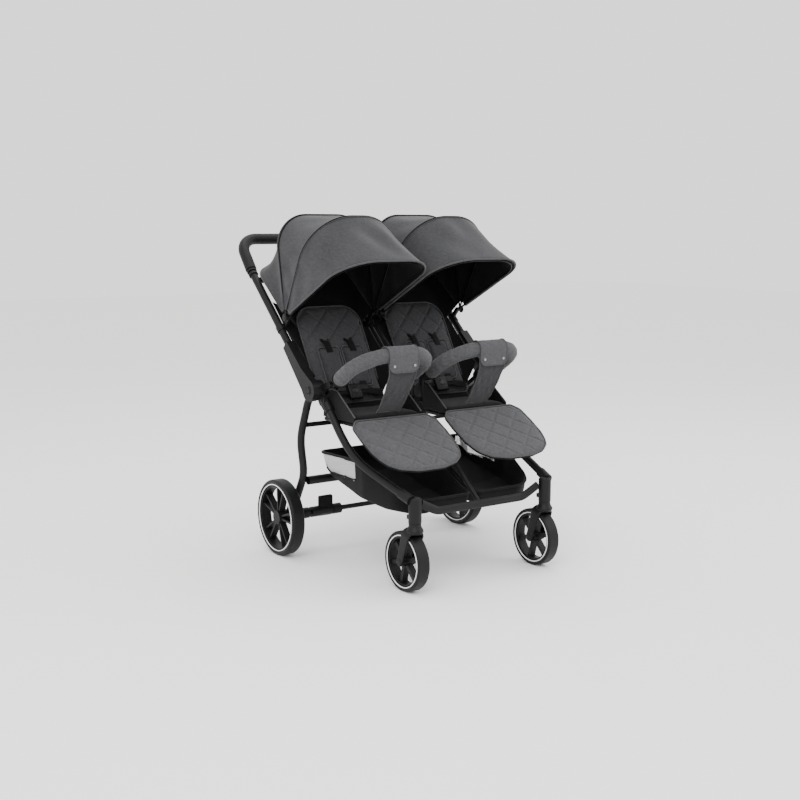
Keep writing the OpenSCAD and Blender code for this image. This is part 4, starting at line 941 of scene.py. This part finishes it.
turn = np.linspace(0, 2 * math.pi, 160, endpoint=False)
for name, side in sides.items():
    for axle, where, ring, half, body in (("rear", rearAxle, 0.1058, 0.0203, "rear_wheel_"),
                                          ("front", frontAxle, 0.0756, 0.0182, "front_wheel_")):
        for face, e in (("outer", 1), ("inner", -1)):
            path = np.stack([np.full(160, where[0] + e * half), where[1] + ring * np.cos(turn),
                             where[2] + ring * np.sin(turn)], axis=1)
            piece = makePiece(f"{axle}_ring_{face}_{name}", *cord(path, 0.0016, [1.0, 0.0, 0.0], closed=True),
                              [ringPlastic], side)
            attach(piece, body + name)
    # Caster fork: one flat bar arched over the tyre, a bulged collar and two hub caps
    arch = smoothPath([[-0.025, *frontAxle[1:]], [-0.025, -0.4130, 0.184], [0.025, -0.4130, 0.184],
                       [0.025, *frontAxle[1:]]], [0, 0.017, 0.017, 0], 90)
    widths = 0.0135 + 0.0045 * np.clip((arch[:, 2] - 0.10) / 0.07, 0, 1)
    points, faces = flatBar(arch + [frontAxle[0], 0, 0], [0.0, 0.95, 0.31], widths, 0.0036)
    fork = makePiece(f"caster_arch_{name}", points, faces, [nylon], side)
    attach(fork, f"caster_{name}")
    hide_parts(f"caster_fork_{name}")
    profile = smoothPath([[0.0, 0.1740], [0.0215, 0.1750], [0.0255, 0.1850], [0.0190, 0.1960],
                          [0.0180, 0.2000], [0.0180, 0.2064], [0.0, 0.2066]],
                         [0, 0.005, 0.006, 0.004, 0.002, 0.0008, 0], 60)
    profile[0, 0] = profile[-1, 0] = 0.0
    ring = turn[::2]
    stem = np.stack([frontAxle[0] + profile[:, :1] * np.cos(ring), swivelY + profile[:, :1] * np.sin(ring),
                     profile[:, 1:] + 0 * ring], axis=2)
    pole = (len(profile) - 1) * len(ring)
    points = stem.reshape(-1, 3)
    faces = gridFaces(len(profile), len(ring), False, True)[:, ::-1]
    faces = np.where(faces < len(ring), 0, np.where(faces >= pole, pole, faces))
    collar = makePiece(f"caster_collar_{name}", points, faces, [nylon], side)
    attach(collar, f"caster_{name}")
    for face, e in (("outer", 1), ("inner", -1)):
        disc = np.stack([np.cos(ring), np.sin(ring)], axis=1) * 0.0130
        points, faces = pillow(disc, 0.0300, 0.0212, rings=8, power=6)
        points = np.array(frontAxle) + points[:, [2, 0, 1]] * [e, e, 1]
        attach(makePiece(f"caster_cap_{face}_{name}", points, faces, [nylon], side), f"caster_{name}")
    # Round caps over the canopy pivots
    for face, x, e in (("outer", 0.3425, 1), ("inner", 0.0095, -1)):
        disc = np.stack([np.cos(ring), np.sin(ring)], axis=1) * 0.0125
        points, faces = pillow(disc, 0.0040, -0.0015, rings=8, power=4)
        points = np.array([x, *canopyPivot]) + points[:, [2, 0, 1]] * [e, e, 1]
        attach(makePiece(f"pivot_cap_{face}_{name}", points, faces, [nylon], side), "upper_frame")
    # Round badge on the hinge cover, left plain
    path = np.stack([np.full(64, 0.3524), hingePoint[0] + 0.0145 * np.cos(turn[:64] * 2.5),
                     hingePoint[1] + 0.0145 * np.sin(turn[:64] * 2.5)], axis=1)
    points, faces = cord(path, 0.0013, [1.0, 0.0, 0.0], closed=True)
    badge = makePiece(f"hinge_badge_{name}", points, faces, [tubeCoat], side)
    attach(badge, "upper_frame")
points, faces = block((0.052, 0.015, 0.054), 0.006)
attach(makePiece("brake_pad", points + [-0.190, 0.1615, 0.1440], faces, [evaFoam]), "brake_pedal")
print("fittings made")


# ---------------------------------------------------------------- camera, floor and lights

camera = bpy.data.objects.new("camera", bpy.data.cameras.new("camera"))
bpy.context.scene.collection.objects.link(camera)
camera.location = (-2.1040, -3.0670, 1.0334)
camera.rotation_euler = (math.radians(90 - 8.3529), 0, math.radians(-34.3819))
camera.data.lens = 52.876
camera.data.sensor_width = 36
bpy.context.scene.camera = camera

floorMesh = bpy.data.meshes.new("floor")
floorMesh.from_pydata([(-14, -14, 0), (14, -14, 0), (14, 14, 0), (-14, 14, 0)], [], [(0, 1, 2, 3)])
floor = bpy.data.objects.new("floor", floorMesh)
bpy.context.scene.collection.objects.link(floor)
paper, tree, shader = newMaterial("studio_paper")
shader.inputs["Base Color"].default_value = toLinear("#fbfbfa")
shader.inputs["Roughness"].default_value = 0.9
floorMesh.materials.append(paper)

world = bpy.data.worlds.new("studio")
world.use_nodes = True
world.node_tree.nodes["Background"].inputs["Color"].default_value = (1.0, 1.0, 1.0, 1.0)
world.node_tree.nodes["Background"].inputs["Strength"].default_value = 1.60
bpy.context.scene.world = world


# A square lamp at a place, facing a point
def addLight(name, place, aim, size, power):
    light = bpy.data.lights.new(name, "AREA")
    light.shape = "SQUARE"
    light.size = size
    light.energy = power
    made = bpy.data.objects.new(name, light)
    bpy.context.scene.collection.objects.link(made)
    made.location = place
    back = np.array(place) - np.array(aim)
    tilt = math.atan2(math.hypot(back[0], back[1]), back[2])
    made.rotation_euler = (tilt, 0, math.atan2(back[1], back[0]) + math.pi / 2)


addLight("key", (-2.4, -2.6, 3.2), (0, 0, 0.5), 2.2, 100)
addLight("fill", (3.2, -1.8, 2.2), (0, 0, 0.5), 2.6, 40)
addLight("top", (0.2, 0.6, 3.6), (0, 0, 0.5), 2.4, 50)
